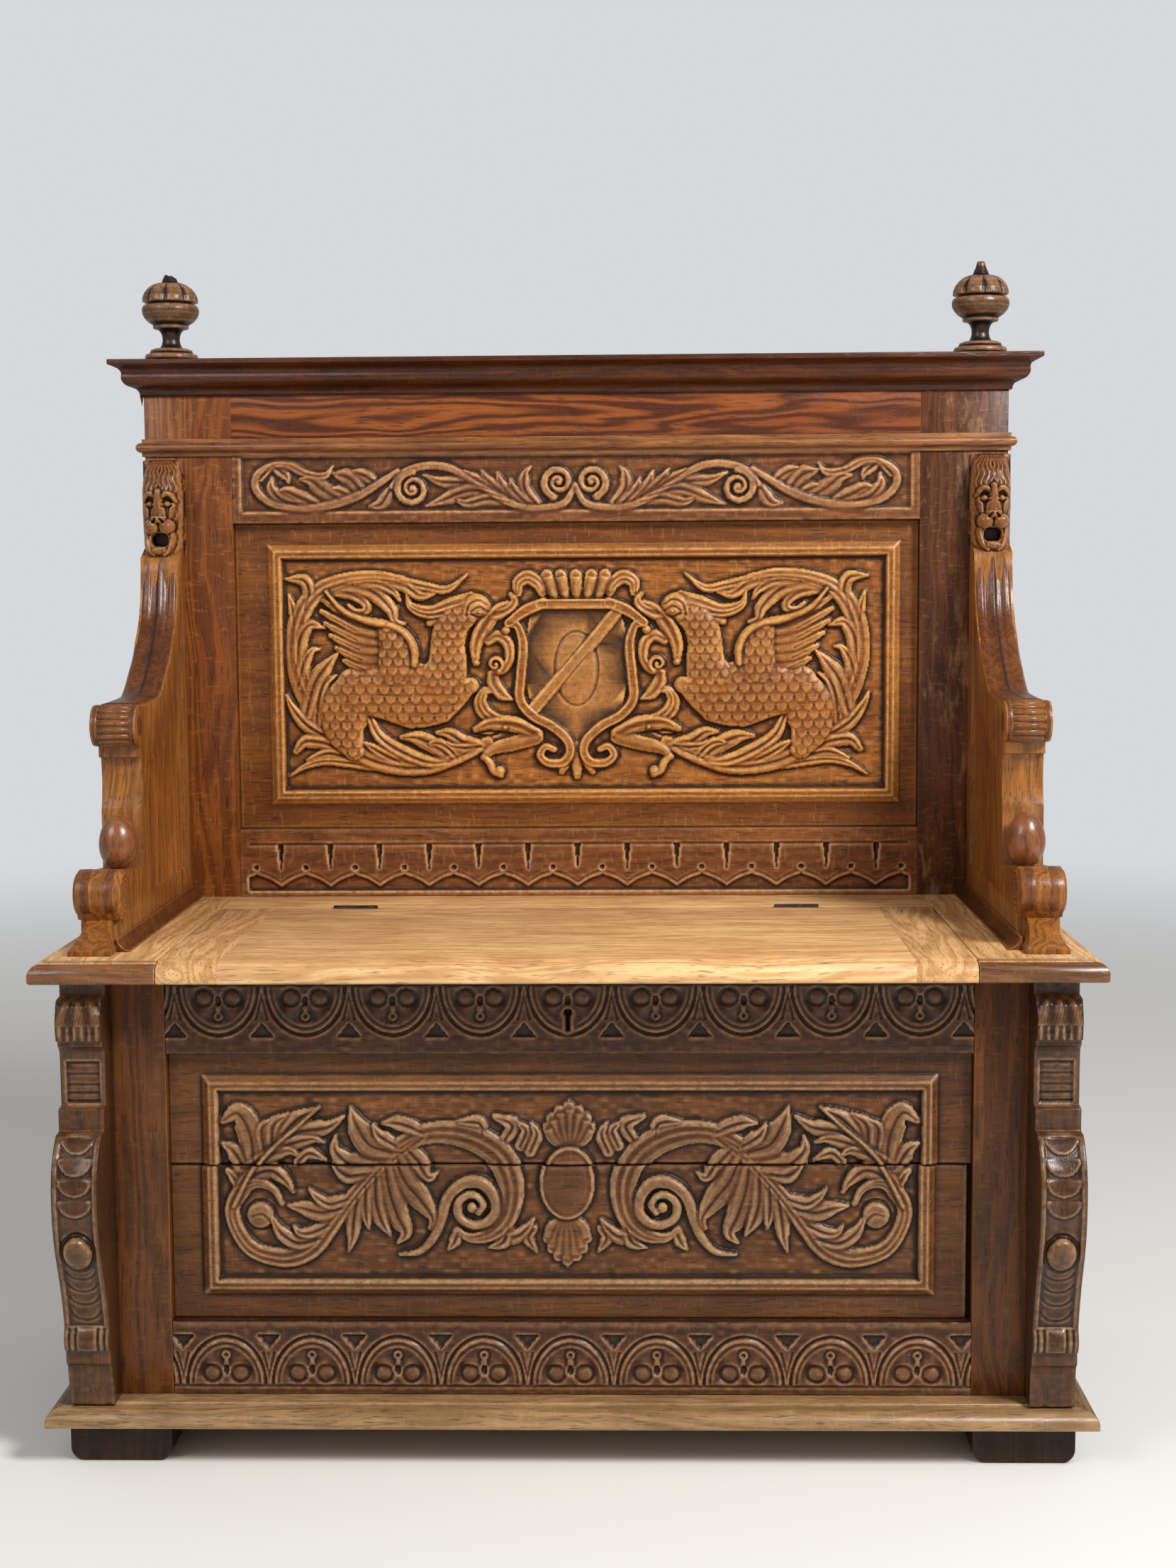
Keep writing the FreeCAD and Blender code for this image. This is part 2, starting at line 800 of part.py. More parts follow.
def lid():
    """The lid is one wide board with a cleat across each end."""
    levels = lid_levels()
    board_half = lid_half - cleat_width
    middle = (levels[0] + levels[1]) / 2.0
    tongue_levels = (middle - board_spline_thick / 2.0, middle + board_spline_thick / 2.0)
    body = block((-board_half, board_half), (0.0, lid_depth), levels)
    tongue = block((-board_half - board_spline_long, board_half + board_spline_long),
                   (edge_quirk_in + tenon_shoulder, lid_depth - tenon_shoulder), tongue_levels)
    cleat = block((board_half, lid_half), (0.0, lid_depth), levels).cut(tongue)
    board = joined([body, tongue])
    cutters = front_edge_cutters(-lid_half - 1.0, lid_half + 1.0)
    mouth = bolt_mouth((chest_top, catch_pocket_top() + bolt_throw + 2.0))
    board = without(board, cutters + hinge_pockets(lid_depth, -1.0) + [mouth, catch_plate_block()])
    save("lid_board", [without(board, catch_screws())])
    save_pair("lid_cleat", without(cleat, cutters))


def catch_pocket_top():
    return lid_levels()[0] + catch_thick


def catch_plate_block():
    depth = bolt_slot_depth()
    return centred_block(0.0, bolt_wide + 2 * catch_border + 16.0,
                         (depth[0] - catch_border, depth[1] + catch_border),
                         (lid_levels()[0], catch_pocket_top()))


def catch_screws():
    """Two countersunk screws up through the catch plate."""
    screws = []
    middle = sum(bolt_slot_depth()) / 2.0
    for x in (-bolt_wide / 2.0 - 9.0, bolt_wide / 2.0 + 9.0):
        low = lid_levels()[0]
        start = Vector(x, row(middle), low)
        screws.append(screw(start, Vector(0.0, 0.0, 1.0), lock_screw_radius, catch_thick, lock_screw_long))
    return screws


def hinge_screws(leaf_face, way):
    """Three screws through each leaf, straight into the board's edge."""
    screws = []
    for centre in (-hinge_place, hinge_place):
        for step in (-1, 0, 1):
            x = centre + step * hinge_long / 3.0
            low = seat_top - hinge_leaf_high / 2.0 - 2.0 + abs(step) * 2.0
            start = Vector(x, row(leaf_face), low)
            screws.append(screw(start, Vector(0.0, way, 0.0), hinge_screw_radius, hinge_leaf_thick,
                                hinge_screw_long))
    return screws


def hinge_leaf_block(centre, leaf_face, way):
    depths = sorted((leaf_face, leaf_face + way * hinge_leaf_thick))
    return centred_block(centre, hinge_long, depths, (seat_top - hinge_leaf_high, seat_top))


def hinge_pockets(leaf_face, way):
    """Recesses for the leaves and the barrels, and the holes of the screws."""
    pockets = hinge_screws(leaf_face, way)
    for centre in (-hinge_place, hinge_place):
        pockets.append(hinge_leaf_block(centre, leaf_face, way))
        half = hinge_long / 2.0
        pockets.append(rod_along_x(centre - half, centre + half, hinge_depth, seat_top,
                                   hinge_barrel_radius + barrel_clearance))
    return pockets


def hinge_leaves(leaf_face, way, first_knuckle):
    """One leaf of both butt hinges with every second knuckle of the barrel."""
    leaves = []
    knuckle = hinge_long / hinge_knuckles
    bore = hinge_pin_radius + hinge_pin_clearance
    for centre in (-hinge_place, hinge_place):
        low = centre - hinge_long / 2.0
        pieces = [hinge_leaf_block(centre, leaf_face, way)]
        gaps = []
        for index in range(hinge_knuckles):
            x_low = low + index * knuckle
            if index % 2 == first_knuckle:
                gap = knuckle_gap / 2.0
                pieces.append(rod_along_x(x_low + gap, x_low + knuckle - gap, hinge_depth, seat_top,
                                          hinge_barrel_radius))
            else:
                gap = -knuckle_gap / 2.0
                gaps.append(rod_along_x(x_low + gap, x_low + knuckle - gap, hinge_depth, seat_top,
                                        hinge_barrel_radius + barrel_clearance))
        leaf = joined(pieces)
        gaps.append(rod_along_x(low - 1.0, low + hinge_long + 1.0, hinge_depth, seat_top, bore))
        leaves.append(leaf.cut(gaps))
    return leaves


def hinges():
    pins = []
    for centre in (-hinge_place, hinge_place):
        pins.append(rod_along_x(centre - hinge_long / 2.0, centre + hinge_long / 2.0, hinge_depth, seat_top,
                                hinge_pin_radius))
    seat_screws = hinge_screws(rear_board_front, 1.0)
    lid_screws = hinge_screws(lid_depth, -1.0)
    seat_leaves = [leaf.cut(seat_screws) for leaf in hinge_leaves(rear_board_front, 1.0, 0)]
    lid_leaves = [leaf.cut(lid_screws) for leaf in hinge_leaves(lid_depth, -1.0, 1)]
    save("hinge_leaves_seat", seat_leaves)
    save("hinge_leaves_lid", lid_leaves)
    save("hinge_pins", pins)
    save("hinge_screws_seat", seat_screws)
    save("hinge_screws_lid", lid_screws)


def lock_screws():
    """Four screws through the corners of the lock's plate into the rail."""
    screws = []
    levels = lock_plate_range()
    half = lock_wide / 2.0 + lock_plate_lip / 2.0
    for x in (-half, half):
        for z in (levels[0] + 6.0, levels[1] - 8.0):
            start = Vector(x, row(front_frame_rear), z)
            screws.append(screw(start, Vector(0.0, -1.0, 0.0), lock_screw_radius, lock_plate_thick,
                                lock_screw_long))
    return screws


def lock():
    """A box lock let into the inner face of the top rail: its case and plate, the bolt that
    slides up into the lid, and the catch plate there."""
    levels = lock_levels()
    case_depth = (front_frame_rear - lock_deep, front_frame_rear - lock_plate_thick)
    case = centred_block(0.0, lock_wide, case_depth, levels)
    hollow = centred_block(0.0, lock_wide - 2 * lock_wall,
                           (case_depth[0] + lock_wall, case_depth[1]), inset(levels, lock_wall))
    plate = centred_block(0.0, lock_wide + 2 * lock_plate_lip,
                          (case_depth[1], front_frame_rear), lock_plate_range())
    mouth = bolt_mouth((levels[0] + lock_wall + 1.0, chest_top))
    key_pin = rod_along_depth(0.0, case_depth[0], case_depth[1], key_level, key_pin_radius)
    keyhole = keyhole_cutter((case_depth[0] - 1.0, case_depth[0] + lock_wall))
    shell = joined([case.cut(hollow), plate])
    guide = centred_block(0.0, bolt_wide + 12.0, (case_depth[0] + lock_wall, case_depth[1]),
                          (levels[1] - 14.0, levels[1] - lock_wall))
    shell = joined([shell, guide])
    shell = without(shell, [mouth, keyhole])
    inside = centred_block(0.0, lock_wide, (case_depth[0] + lock_wall, case_depth[1]), levels)
    shell = joined([shell, key_pin.common(inside)])
    screws = lock_screws()
    save("lock_case", [without(shell, screws)])
    save("lock_screws", screws)
    save("catch_screws", catch_screws())

    depth = bolt_slot_depth()
    foot_level = key_level + bolt_talon - 3.0
    bolt = centred_block(0.0, bolt_wide, depth, (foot_level, chest_top - 1.5))
    talon = rod_along_depth(0.0, depth[0] - 1.0, depth[1] + 1.0, foot_level, bolt_talon / 2.0)
    save("lock_bolt", [bolt.cut(talon)])
    catch = catch_plate_block().cut(bolt_mouth((lid_levels()[0] - 1.0, catch_pocket_top() + 1.0)))
    save("lock_catch", [without(catch, catch_screws())])


def arm_outline():
    """Side view of an arm: a neck that sweeps down from the mask on the back, a level rest
    that ends in a reeded roll, a hollow neck, a scroll and a spreading foot."""
    back = back_face
    seat = seat_top
    roll_z = seat + arm_roll_height
    roll_y = arm_roll_depth
    scroll_z = seat + scroll_height
    scroll_y = scroll_depth
    neck = egg_depth
    diagonal = math.sqrt(0.5)
    steps = [
        [(back - 3.0, seat + arm_height)],
        [(back - 20.0, seat + arm_height - 24.0), (back - 33.0, seat + arm_height - 60.0)],
        [(back - 36.0, seat + arm_height - 100.0), (back - 41.0, seat + arm_height - 146.0)],
        [(back - 53.0, seat + arm_height - 180.0), (back - 77.0, seat + arm_height - 208.0)],
        [(back - 110.0, roll_z + arm_roll_radius + 22.0), (back - 150.0, roll_z + arm_roll_radius + 2.0)],
        [(roll_y + 30.0, roll_z + arm_roll_radius - 1.5)],
        [(roll_y + 6.0, roll_z + arm_roll_radius - 1.5)],
        [(roll_y + 5.0, roll_z - arm_roll_radius - 12.0)],
        [(neck + 4.0, roll_z - arm_roll_radius - 14.0)],
        [(neck + 6.0, roll_z - arm_roll_radius - 45.0), (neck, seat + egg_height + egg_half_high + 2.0)],
        [(neck, seat + scroll_height + 14.0)],
        [(scroll_y + 40.0, scroll_z + scroll_radius - 6.0), (scroll_y, scroll_z + scroll_radius)],
        [(scroll_y - scroll_radius, scroll_z),
         (scroll_y - scroll_radius * diagonal, scroll_z - scroll_radius * diagonal)],
        [(scroll_y - 12.0, seat + 29.0)],
        [(scroll_y - 30.0, seat + 20.0), (scroll_y - 55.0, seat + 7.0)],
        [(scroll_y - 58.0, seat + 5.0)],
        [(scroll_y - 58.0, seat)],
        [(back, seat)]]
    return outline((back, seat + arm_height), steps, side)


def arm_field_outline():
    """The sunk field in the side of the arm, inside a bevelled edge."""
    back = back_face
    seat = seat_top
    roll_z = seat + arm_roll_height
    return outline((back - 26.0, seat + 40.0), [
        [(egg_depth + arm_field_edge, seat + 40.0)],
        [(egg_depth + arm_field_edge, roll_z - 42.0)],
        [(egg_depth + arm_field_reach, roll_z - 18.0), (back - arm_field_edge, roll_z + arm_field_rise)],
        [(back - 26.0, roll_z + arm_field_rise)]], side)


def reed_outline():
    """A ring of reeds, each one bevelled down to the valleys at its sides."""
    roll_z = seat_top + arm_roll_height
    spacing = 2.0 * math.pi / arm_reeds
    valley = arm_roll_radius - arm_reed_sink

    def place(radius, angle):
        return (arm_roll_depth + radius * math.cos(angle), roll_z + radius * math.sin(angle))
    steps = []
    for index in range(arm_reeds):
        angle = index * spacing
        steps.append([place(arm_roll_radius, angle + spacing * 0.3)])
        steps.append([place(arm_roll_radius, angle + spacing * 0.7)])
        steps.append([place(valley, angle + spacing)])
    return outline(place(valley, 0.0), steps, side)


def reeded_roll(middle):
    """The roll at the end of the arm rest: plain rims with reeds between them."""
    half = arm_roll_width / 2.0
    roll_z = seat_top + arm_roll_height
    rim = arm_roll_rim
    reeds = run_along_x(reed_outline(), middle - half + rim, middle + half - rim)
    inner_rim = rod_along_x(middle - half, middle - half + rim, arm_roll_depth, roll_z, arm_roll_radius)
    outer_rim = rod_along_x(middle + half - rim, middle + half, arm_roll_depth, roll_z, arm_roll_radius)
    return joined([inner_rim, reeds, outer_rim])


def mask(middle):
    """The bulk of the lion's head: its side view, from forelock, brow, muzzle and open jaw to
    the beard, cut to the oval of its front view."""
    top = seat_top + arm_height
    back = back_face
    profile = outline((back, top), [
        [(back - 14.0, top)],
        [(back - 30.0, top - 14.0), (back - 36.0, top - 40.0)],
        [(back - 31.0, top - 49.0)],
        [(back - 47.0, top - 62.0), (back - 42.0, top - 76.0)],
        [(back - 33.0, top - 79.0)],
        [(back - 32.0, top - 84.0)],
        [(back - 41.0, top - 88.0), (back - 34.0, top - 98.0)],
        [(back - 36.0, top - mask_high + 6.0)],
        [(back, top - mask_high)]], side)
    oval = outline((middle, top), [
        [(middle + mask_half_wide * 0.8, top - 16.0), (middle + mask_half_wide, top - 62.0)],
        [(middle + mask_half_wide * 0.75, top - mask_high + 20.0), (middle, top - mask_high)],
        [(middle - mask_half_wide * 0.75, top - mask_high + 20.0), (middle - mask_half_wide, top - 62.0)],
        [(middle - mask_half_wide * 0.8, top - 16.0), (middle, top)]], front)
    head = run_along_x(profile, middle - mask_half_wide, middle + mask_half_wide)
    return head.common(run_along_depth(oval, back - 60.0, back))


def arm_scroll(middle):
    """The double-lobed scroll above the foot, turned round its own axis."""
    half = scroll_width / 2.0
    radius = scroll_radius
    bevel = scroll_bevel
    face = outline((middle - half, 0.0), [
        [(middle - half, radius - bevel)],
        [(middle - half + bevel, radius)],
        [(middle - bevel, radius)],
        [(middle, radius - bevel)],
        [(middle + bevel, radius)],
        [(middle + half - bevel, radius)],
        [(middle + half, radius - bevel)],
        [(middle + half, 0.0)]], front)
    solid = face.revolve(Vector(0.0, 0.0, 0.0), Vector(1.0, 0.0, 0.0), 360.0)
    return solid.translated(Vector(0.0, row(scroll_depth), seat_top + scroll_height))


def arm_egg(middle):
    """The plain glossy egg under the roll, on an upright axis."""
    depth = egg_depth - egg_rise + egg_half_wide
    start = Vector(middle, row(depth), seat_top + egg_height)
    rings = []
    for share in (-1.0, -0.85, -0.5, 0.0, 0.5, 0.85, 1.0):
        swell = math.sqrt(1.0 - 0.96 * share ** 2)
        rings.append((egg_half_high * share, egg_half_wide * swell))
    return tapered(start, Vector(0.0, 0.0, 1.0), rings, egg_sides)


def arm():
    outer = back_half
    inner = outer - arm_thick
    middle = outer - arm_thick / 2.0
    field = arm_field_outline()
    fields = [run_along_x(field, inner - 1.0, inner + arm_field_sink),
              run_along_x(field, outer - arm_field_sink, outer + 1.0)]
    narrowing = (arm_thick - arm_foot_narrow) / 2.0
    foot_top = seat_top + 30.0
    cheek = outline((outer + 1.0, foot_top), [
        [(outer - narrowing, foot_top)],
        [(outer - narrowing * 0.8, seat_top + 16.0), (outer, seat_top + 5.0)],
        [(outer + 1.0, seat_top + 5.0)]], front)
    cheek = run_along_depth(cheek, 0.0, scroll_depth - 2.0)
    other = cheek.mirror(Vector(middle, 0.0, 0.0), Vector(1.0, 0.0, 0.0))
    body = run_along_x(arm_outline(), inner, outer)
    body = without(body, fields + [cheek, other])
    return joined([body, reeded_roll(middle), arm_scroll(middle), arm_egg(middle), mask(middle)])


def arms():
    """The two arms, and the hollow moulding where each one meets the seat on its inner side."""
    save_pair("arm", arm())
    inner = back_half - arm_thick
    low = seat_top
    reach = (arm_cove - arm_cove_fillet) * math.sqrt(0.5)
    face = outline((inner, low), [
        [(inner, low + arm_cove)],
        [(inner - arm_cove_fillet, low + arm_cove)],
        [(inner - arm_cove + reach, low + arm_cove - reach), (inner - arm_cove, low + arm_cove_fillet)],
        [(inner - arm_cove, low)]], front)
    save_pair("arm_cove", run_along_depth(face, arm_cove_start, back_face))


def back_stile_tenon_block():
    """The back's stile goes down through the end board of the seat into the post of the box
    below, and keeps clear of the tongue behind the lid."""
    middle = back_half - back_stile_width / 2.0
    tongue_end = lid_opening_half + board_spline_long
    inner = max(middle - back_stile_tenon_wide / 2.0, tongue_end + 1.0)
    outer = middle + back_stile_tenon_wide / 2.0
    front_cheek = rear_post_front + back_stile_tenon_cheek
    return block((inner, outer), (front_cheek, front_cheek + tenon_thick),
                 (seat_top - back_stile_tenon, seat_top))


def back_groove_depth():
    low = back_face + board_recess + board_front_cheek
    return (low, low + groove_wide)


def back_tenon_depth():
    middle = back_face + back_rail_thick / 2.0
    return (middle - tenon_thick / 2.0, middle + tenon_thick / 2.0)


def lower_back_rail():
    """The rail above the seat, with a row of tapered notches cut in its face."""
    depths = (back_face, back_face + back_rail_thick)
    rail = rail_with_tenons(back_inner, depths, (seat_top, back_panel_low), back_tenon_depth(),
                            (seat_top + tenon_shoulder, back_panel_low - groove_deep - 3.0))
    high = back_panel_low - 20.0
    notches = []
    for index in range(notch_count):
        x = (index - (notch_count - 1) / 2.0) * notch_pitch
        face = outline((x - notch_wide / 2.0, high), [
            [(x + notch_wide / 2.0, high)],
            [(x + notch_wide / 3.0, high - notch_high)],
            [(x - notch_wide / 3.0, high - notch_high)]], front)
        notches.append(run_along_depth(face, back_face - 1.0, back_face + notch_deep))
    return rail.cut(notches)


def framed_back():
    """Two stiles from the seat to the cornice, three rails between them and the carved board."""
    stile = block((back_inner, back_half), (back_face, rear_face), (seat_top, cap_low))
    stile = joined([stile, back_stile_tenon_block()])
    depths = (back_face, back_face + back_rail_thick)
    groove = block((-back_inner - groove_deep, back_inner + groove_deep), back_groove_depth(),
                   (back_panel_low - groove_deep, back_panel_high + groove_deep))
    top_tenon = (back_panel_high + groove_deep + 3.0, frieze_low - tenon_shoulder)
    frieze_tenon = (frieze_low + tenon_shoulder, cap_low - tenon_shoulder)
    cheeks = back_tenon_depth()
    top_rail = rail_with_tenons(back_inner, depths, (back_panel_high, frieze_low), cheeks, top_tenon)
    frieze = rail_with_tenons(back_inner, depths, (frieze_low, cap_low), cheeks, frieze_tenon)
    rails = [("back_rail_bottom", lower_back_rail()), ("back_rail_top", top_rail), ("frieze_rail", frieze)]
    for name, rail in rails:
        stile = stile.cut(rail)
        save(name, [rail.cut(groove)])
    spigot = finial_spigot(finial_place)
    save_pair("back_stile", without(stile, [groove, spigot]))

    face = back_face + board_recess
    rear = back_face + back_rail_thick - board_rear_cheek
    border_x = (-back_inner + back_border_side + back_border_shift,
                back_inner - back_border_side + back_border_shift)
    border_z = (back_panel_low + back_border_below, back_panel_high - back_border_above)
    board = bordered_board(back_inner, (back_panel_low, back_panel_high), face, back_groove_depth(), rear,
                           border_x, border_z, 0.0)
    save("back_board", [board])


def string_moulding():
    """The half round between two fillets that runs under the frieze."""
    middle = (string_low + frieze_low) / 2.0
    quarter = string_height / 4.0
    steps = [
        [(string_fillet, string_low)],
        [(string_fillet, string_low + quarter - 0.5)],
        [(string_projection, middle), (string_fillet, frieze_low - quarter + 0.5)],
        [(string_fillet, frieze_low)],
        [(0.0, frieze_low)]]
    runs = moulding_round_front(steps, (0.0, string_low), back_half, back_face, rear_face,
                                (string_low, frieze_low))
    save("string_moulding", runs)


def cornice():
    """Mitred cornice under a flat cap board that carries the finials."""
    low = cornice_low
    high = cap_low
    tall = cornice_height
    out = cornice_projection
    steps = [
        [(3.5, low)],
        [(3.5, low + 1.5)],
        [(out * 0.17, low + tall * 0.20), (out * 0.29, low + tall * 0.28)],
        [(out * 0.35, low + tall * 0.30)],
        [(out * 0.56, low + tall * 0.42), (out * 0.61, low + tall * 0.68)],
        [(out * 0.66, low + tall * 0.84), (out * 0.78, low + tall * 0.92)],
        [(out * 0.90, high - 0.5)],
        [(out * 0.94, high)],
        [(0.0, high)]]
    runs = moulding_round_front(steps, (0.0, low), back_half, back_face, rear_face, (low, high))
    save("cornice_moulding", runs)
    half = back_half + cornice_projection
    cap = block((-half, half), (back_face - cornice_projection, rear_face), (cap_low, cap_top))
    rims = [edge for edge in cap.Edges if is_cap_rim(edge)]
    cap = cap.makeFillet(cap_thick * 0.2, rims)
    save("cornice_cap", [without(cap, [finial_spigot(finial_place), finial_spigot(-finial_place)])])


def is_cap_rim(edge):
    middle = edge.CenterOfMass
    long_way = edge.Length > cap_thick * 2
    return long_way and middle.y < row(rear_face) - 1.0


def finial_spigot(x):
    """The eight-sided pin under a finial; its hole in the cap has the same form."""
    start = Vector(x, row(finial_depth), cap_top - finial_spigot_long)
    rings = [(0.0, finial_spigot_radius), (finial_spigot_long, finial_spigot_radius)]
    return tapered(start, Vector(0.0, 0.0, 1.0), rings, 8)


def finial_tip(x, broken):
    """The small knob on the dome. On the left finial it is broken off at a slant."""
    start = Vector(x, row(finial_depth), dome_top)
    rings = [(-1.0, tip_radius * 1.9), (tip_high * 0.4, tip_radius * 1.35), (tip_high, tip_radius)]
    tip = tapered(start, Vector(0.0, 0.0, 1.0), rings, finial_facets)
    if not broken:
        return tip
    wide = tip_radius * 2.4
    gone = outline((x - wide, dome_top + tip_high * 0.85), [
        [(x - wide / 3.0, dome_top + tip_high * 0.7)],
        [(x, dome_top + tip_high * 0.75)],
        [(x + wide, dome_top + tip_high * 0.45)],
        [(x + wide, dome_top + tip_high * 1.2)],
        [(x - wide, dome_top + tip_high * 1.2)]], front)
    return tip.cut(run_along_depth(gone, finial_depth - wide, finial_depth + wide))


def finial(x, broken):
    """Foot, neck and cup under a dome with flat sides, as shares of the stem's height and of
    the cup's radius."""
    cup = finial_cup_radius
    stem = dome_low - cap_top
    start = Vector(x, row(finial_depth), cap_top)
    upright = Vector(0.0, 0.0, 1.0)
    foot = [(0.0, 0.86), (0.045, 0.93), (0.105, 0.89), (0.16, 0.74), (0.2, 0.71), (0.225, 0.385)]
    neck = [(0.345, 0.30), (0.45, 0.323), (0.55, 0.446), (0.564, 0.625), (0.61, 0.625)]
    bowl = [(0.69, 0.815), (0.8, 0.96), (0.88, 1.0), (0.947, 1.0), (0.97, 0.8), (1.0, 0.8)]
    rings = [(stem * share, cup * width) for share, width in foot + neck + bowl]
    turned = tapered(start, upright, rings, finial_sides)
    dome_rings = [(0.0, 1.0), (0.35, 0.965), (0.72, 0.82), (1.0, 0.58)]
    dome = tapered(start, upright, [(stem + dome_high * share, cup * width) for share, width in dome_rings],
                   finial_facets)
    return joined([turned, dome, finial_tip(x, broken), finial_spigot(x)])


def finials():
    save("finials", [finial(finial_place, False), finial(-finial_place, True)])


os.makedirs("parts", exist_ok=True)
feet()
plinth()
box_frame()
plain_panels()
chest_floor()
chest_front_boards()
consoles()
seat_boards()
lid()
hinges()
lock()
arms()
framed_back()
string_moulding()
cornice()
finials()
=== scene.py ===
# %% [markdown]
# # A carved oak settle
#
# The real object is a box seat with a high framed back, about a metre wide, carved by hand in
# oak and then stained, waxed and worn for a century or more. The working drawings arrive as a
# frame of plain solids. This file keeps every plain board of that frame, swaps the carved
# boards for finely carved ones, and gives each its finish.
#
# All lengths are written in millimetres, as a joiner would, and turned into metres at the
# moment that a mesh is made. Depths are counted back from the front edge of the seat.

# %% Load the frame
import json
import math

import bmesh
import bpy
import numpy as np
from mathutils import Matrix, Vector

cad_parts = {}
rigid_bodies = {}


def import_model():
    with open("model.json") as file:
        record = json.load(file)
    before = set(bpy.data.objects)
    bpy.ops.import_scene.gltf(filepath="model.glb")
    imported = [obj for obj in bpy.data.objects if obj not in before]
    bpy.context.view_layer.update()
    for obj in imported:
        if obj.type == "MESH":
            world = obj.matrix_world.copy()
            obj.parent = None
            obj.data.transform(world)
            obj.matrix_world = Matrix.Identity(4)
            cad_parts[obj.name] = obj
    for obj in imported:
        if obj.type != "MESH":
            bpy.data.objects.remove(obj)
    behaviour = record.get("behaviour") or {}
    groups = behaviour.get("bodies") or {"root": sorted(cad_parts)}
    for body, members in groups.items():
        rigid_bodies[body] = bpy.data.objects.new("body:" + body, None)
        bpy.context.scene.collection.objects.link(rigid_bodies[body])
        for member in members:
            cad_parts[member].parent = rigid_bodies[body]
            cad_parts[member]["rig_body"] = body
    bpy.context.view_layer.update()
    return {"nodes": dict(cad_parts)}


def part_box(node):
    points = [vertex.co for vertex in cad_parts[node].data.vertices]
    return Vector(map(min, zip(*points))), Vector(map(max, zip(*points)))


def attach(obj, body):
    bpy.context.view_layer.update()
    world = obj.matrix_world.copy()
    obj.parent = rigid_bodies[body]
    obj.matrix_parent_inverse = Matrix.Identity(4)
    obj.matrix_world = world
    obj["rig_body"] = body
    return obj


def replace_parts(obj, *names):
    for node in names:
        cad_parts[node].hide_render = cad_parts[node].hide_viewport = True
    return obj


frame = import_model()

nodes = frame["nodes"]
MM = 0.001
FRONT_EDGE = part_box("seat_end_left")[0].y / MM
SIDES = {"left": -1.0, "right": 1.0}


def new_object(name, data):
    """An object in the scene's own collection."""
    made = bpy.data.objects.new(name, data)
    bpy.context.scene.collection.objects.link(made)
    return made


# %% [markdown]
# ## The camera
#
# The view is square on to the front and a little to the right of the middle, from the height
# of a standing person's chest. A long lens keeps the plinth and the cornice nearly level, so
# the camera is described by a place, three small turns and a focal length.

# %% Camera
SENSOR_WIDTH = 36.0
LENS = 66.67
CAMERA_RIGHT, CAMERA_AHEAD_OF_SEAT, CAMERA_HIGH = 74.4, 2096.6, 904.2
CAMERA_YAW, CAMERA_PITCH, CAMERA_ROLL = -1.388, 5.544, 0.378


def camera_axes(yaw, pitch, roll):
    """Columns for a camera that looks along +Y, then turns, dips and leans by these degrees."""
    yaw, pitch, roll = (math.radians(v) for v in (yaw, pitch, roll))
    ahead = Vector((math.sin(yaw) * math.cos(pitch), math.cos(yaw) * math.cos(pitch), -math.sin(pitch)))
    right = Vector((math.cos(yaw), -math.sin(yaw), 0.0))
    down = ahead.cross(right)
    leaned_right = math.cos(roll) * right + math.sin(roll) * down
    leaned_down = math.cos(roll) * down - math.sin(roll) * right
    return Matrix((leaned_right, -leaned_down, -ahead)).transposed()


camera_data = bpy.data.cameras.new("camera")
camera_data.sensor_fit = "HORIZONTAL"
camera_data.sensor_width = SENSOR_WIDTH
camera_data.lens = LENS
camera = new_object("camera", camera_data)
camera_place = [v * MM for v in (CAMERA_RIGHT, FRONT_EDGE - CAMERA_AHEAD_OF_SEAT, CAMERA_HIGH)]
camera_turn = camera_axes(CAMERA_YAW, CAMERA_PITCH, CAMERA_ROLL)
camera.matrix_world = Matrix.Translation(camera_place) @ camera_turn.to_4x4()
bpy.context.scene.camera = camera
bpy.context.scene.view_settings.view_transform = "Standard"
print("camera: lens", LENS, "mm on a sensor", SENSOR_WIDTH, "mm wide")


# %% [markdown]
# ## Small tools for finishes
#
# A finish is a graph of nodes. One helper adds a node, sets what it needs and makes its links,
# so that a finish reads from top to bottom like a recipe. Colours are written as the hex codes
# of a paint chart and turned to the linear values that light adds up in.

# %% Helpers for finishes
def paint(code):
    """A hex colour from a chart as linear red, green, blue and alpha."""
    parts = [int(code[i:i + 2], 16) / 255.0 for i in (1, 3, 5)]
    return [c / 12.92 if c < 0.04045 else ((c + 0.055) / 1.055) ** 2.4 for c in parts] + [1.0]


NODE_FAMILY = {"ShaderNodeTree": "ShaderNode", "GeometryNodeTree": "GeometryNode"}


def add(tree, kind, inputs=None, **settings):
    """Adds a node of the tree's own family. Inputs map a socket's name or number to a value, to
    a socket to link, or to a node, whose first output is then linked."""
    node = tree.nodes.new(NODE_FAMILY[tree.bl_idname] + kind)
    for name, value in settings.items():
        setattr(node, name, value)
    for key, value in (inputs or {}).items():
        if isinstance(value, bpy.types.Node):
            value = value.outputs[0]
        if isinstance(value, bpy.types.NodeSocket):
            tree.links.new(value, node.inputs[key])
        else:
            node.inputs[key].default_value = value
    return node


def new_finish(name):
    """A material with an empty graph."""
    finish = bpy.data.materials.new(name)
    finish.use_nodes = True
    finish.node_tree.nodes.clear()
    return finish, finish.node_tree


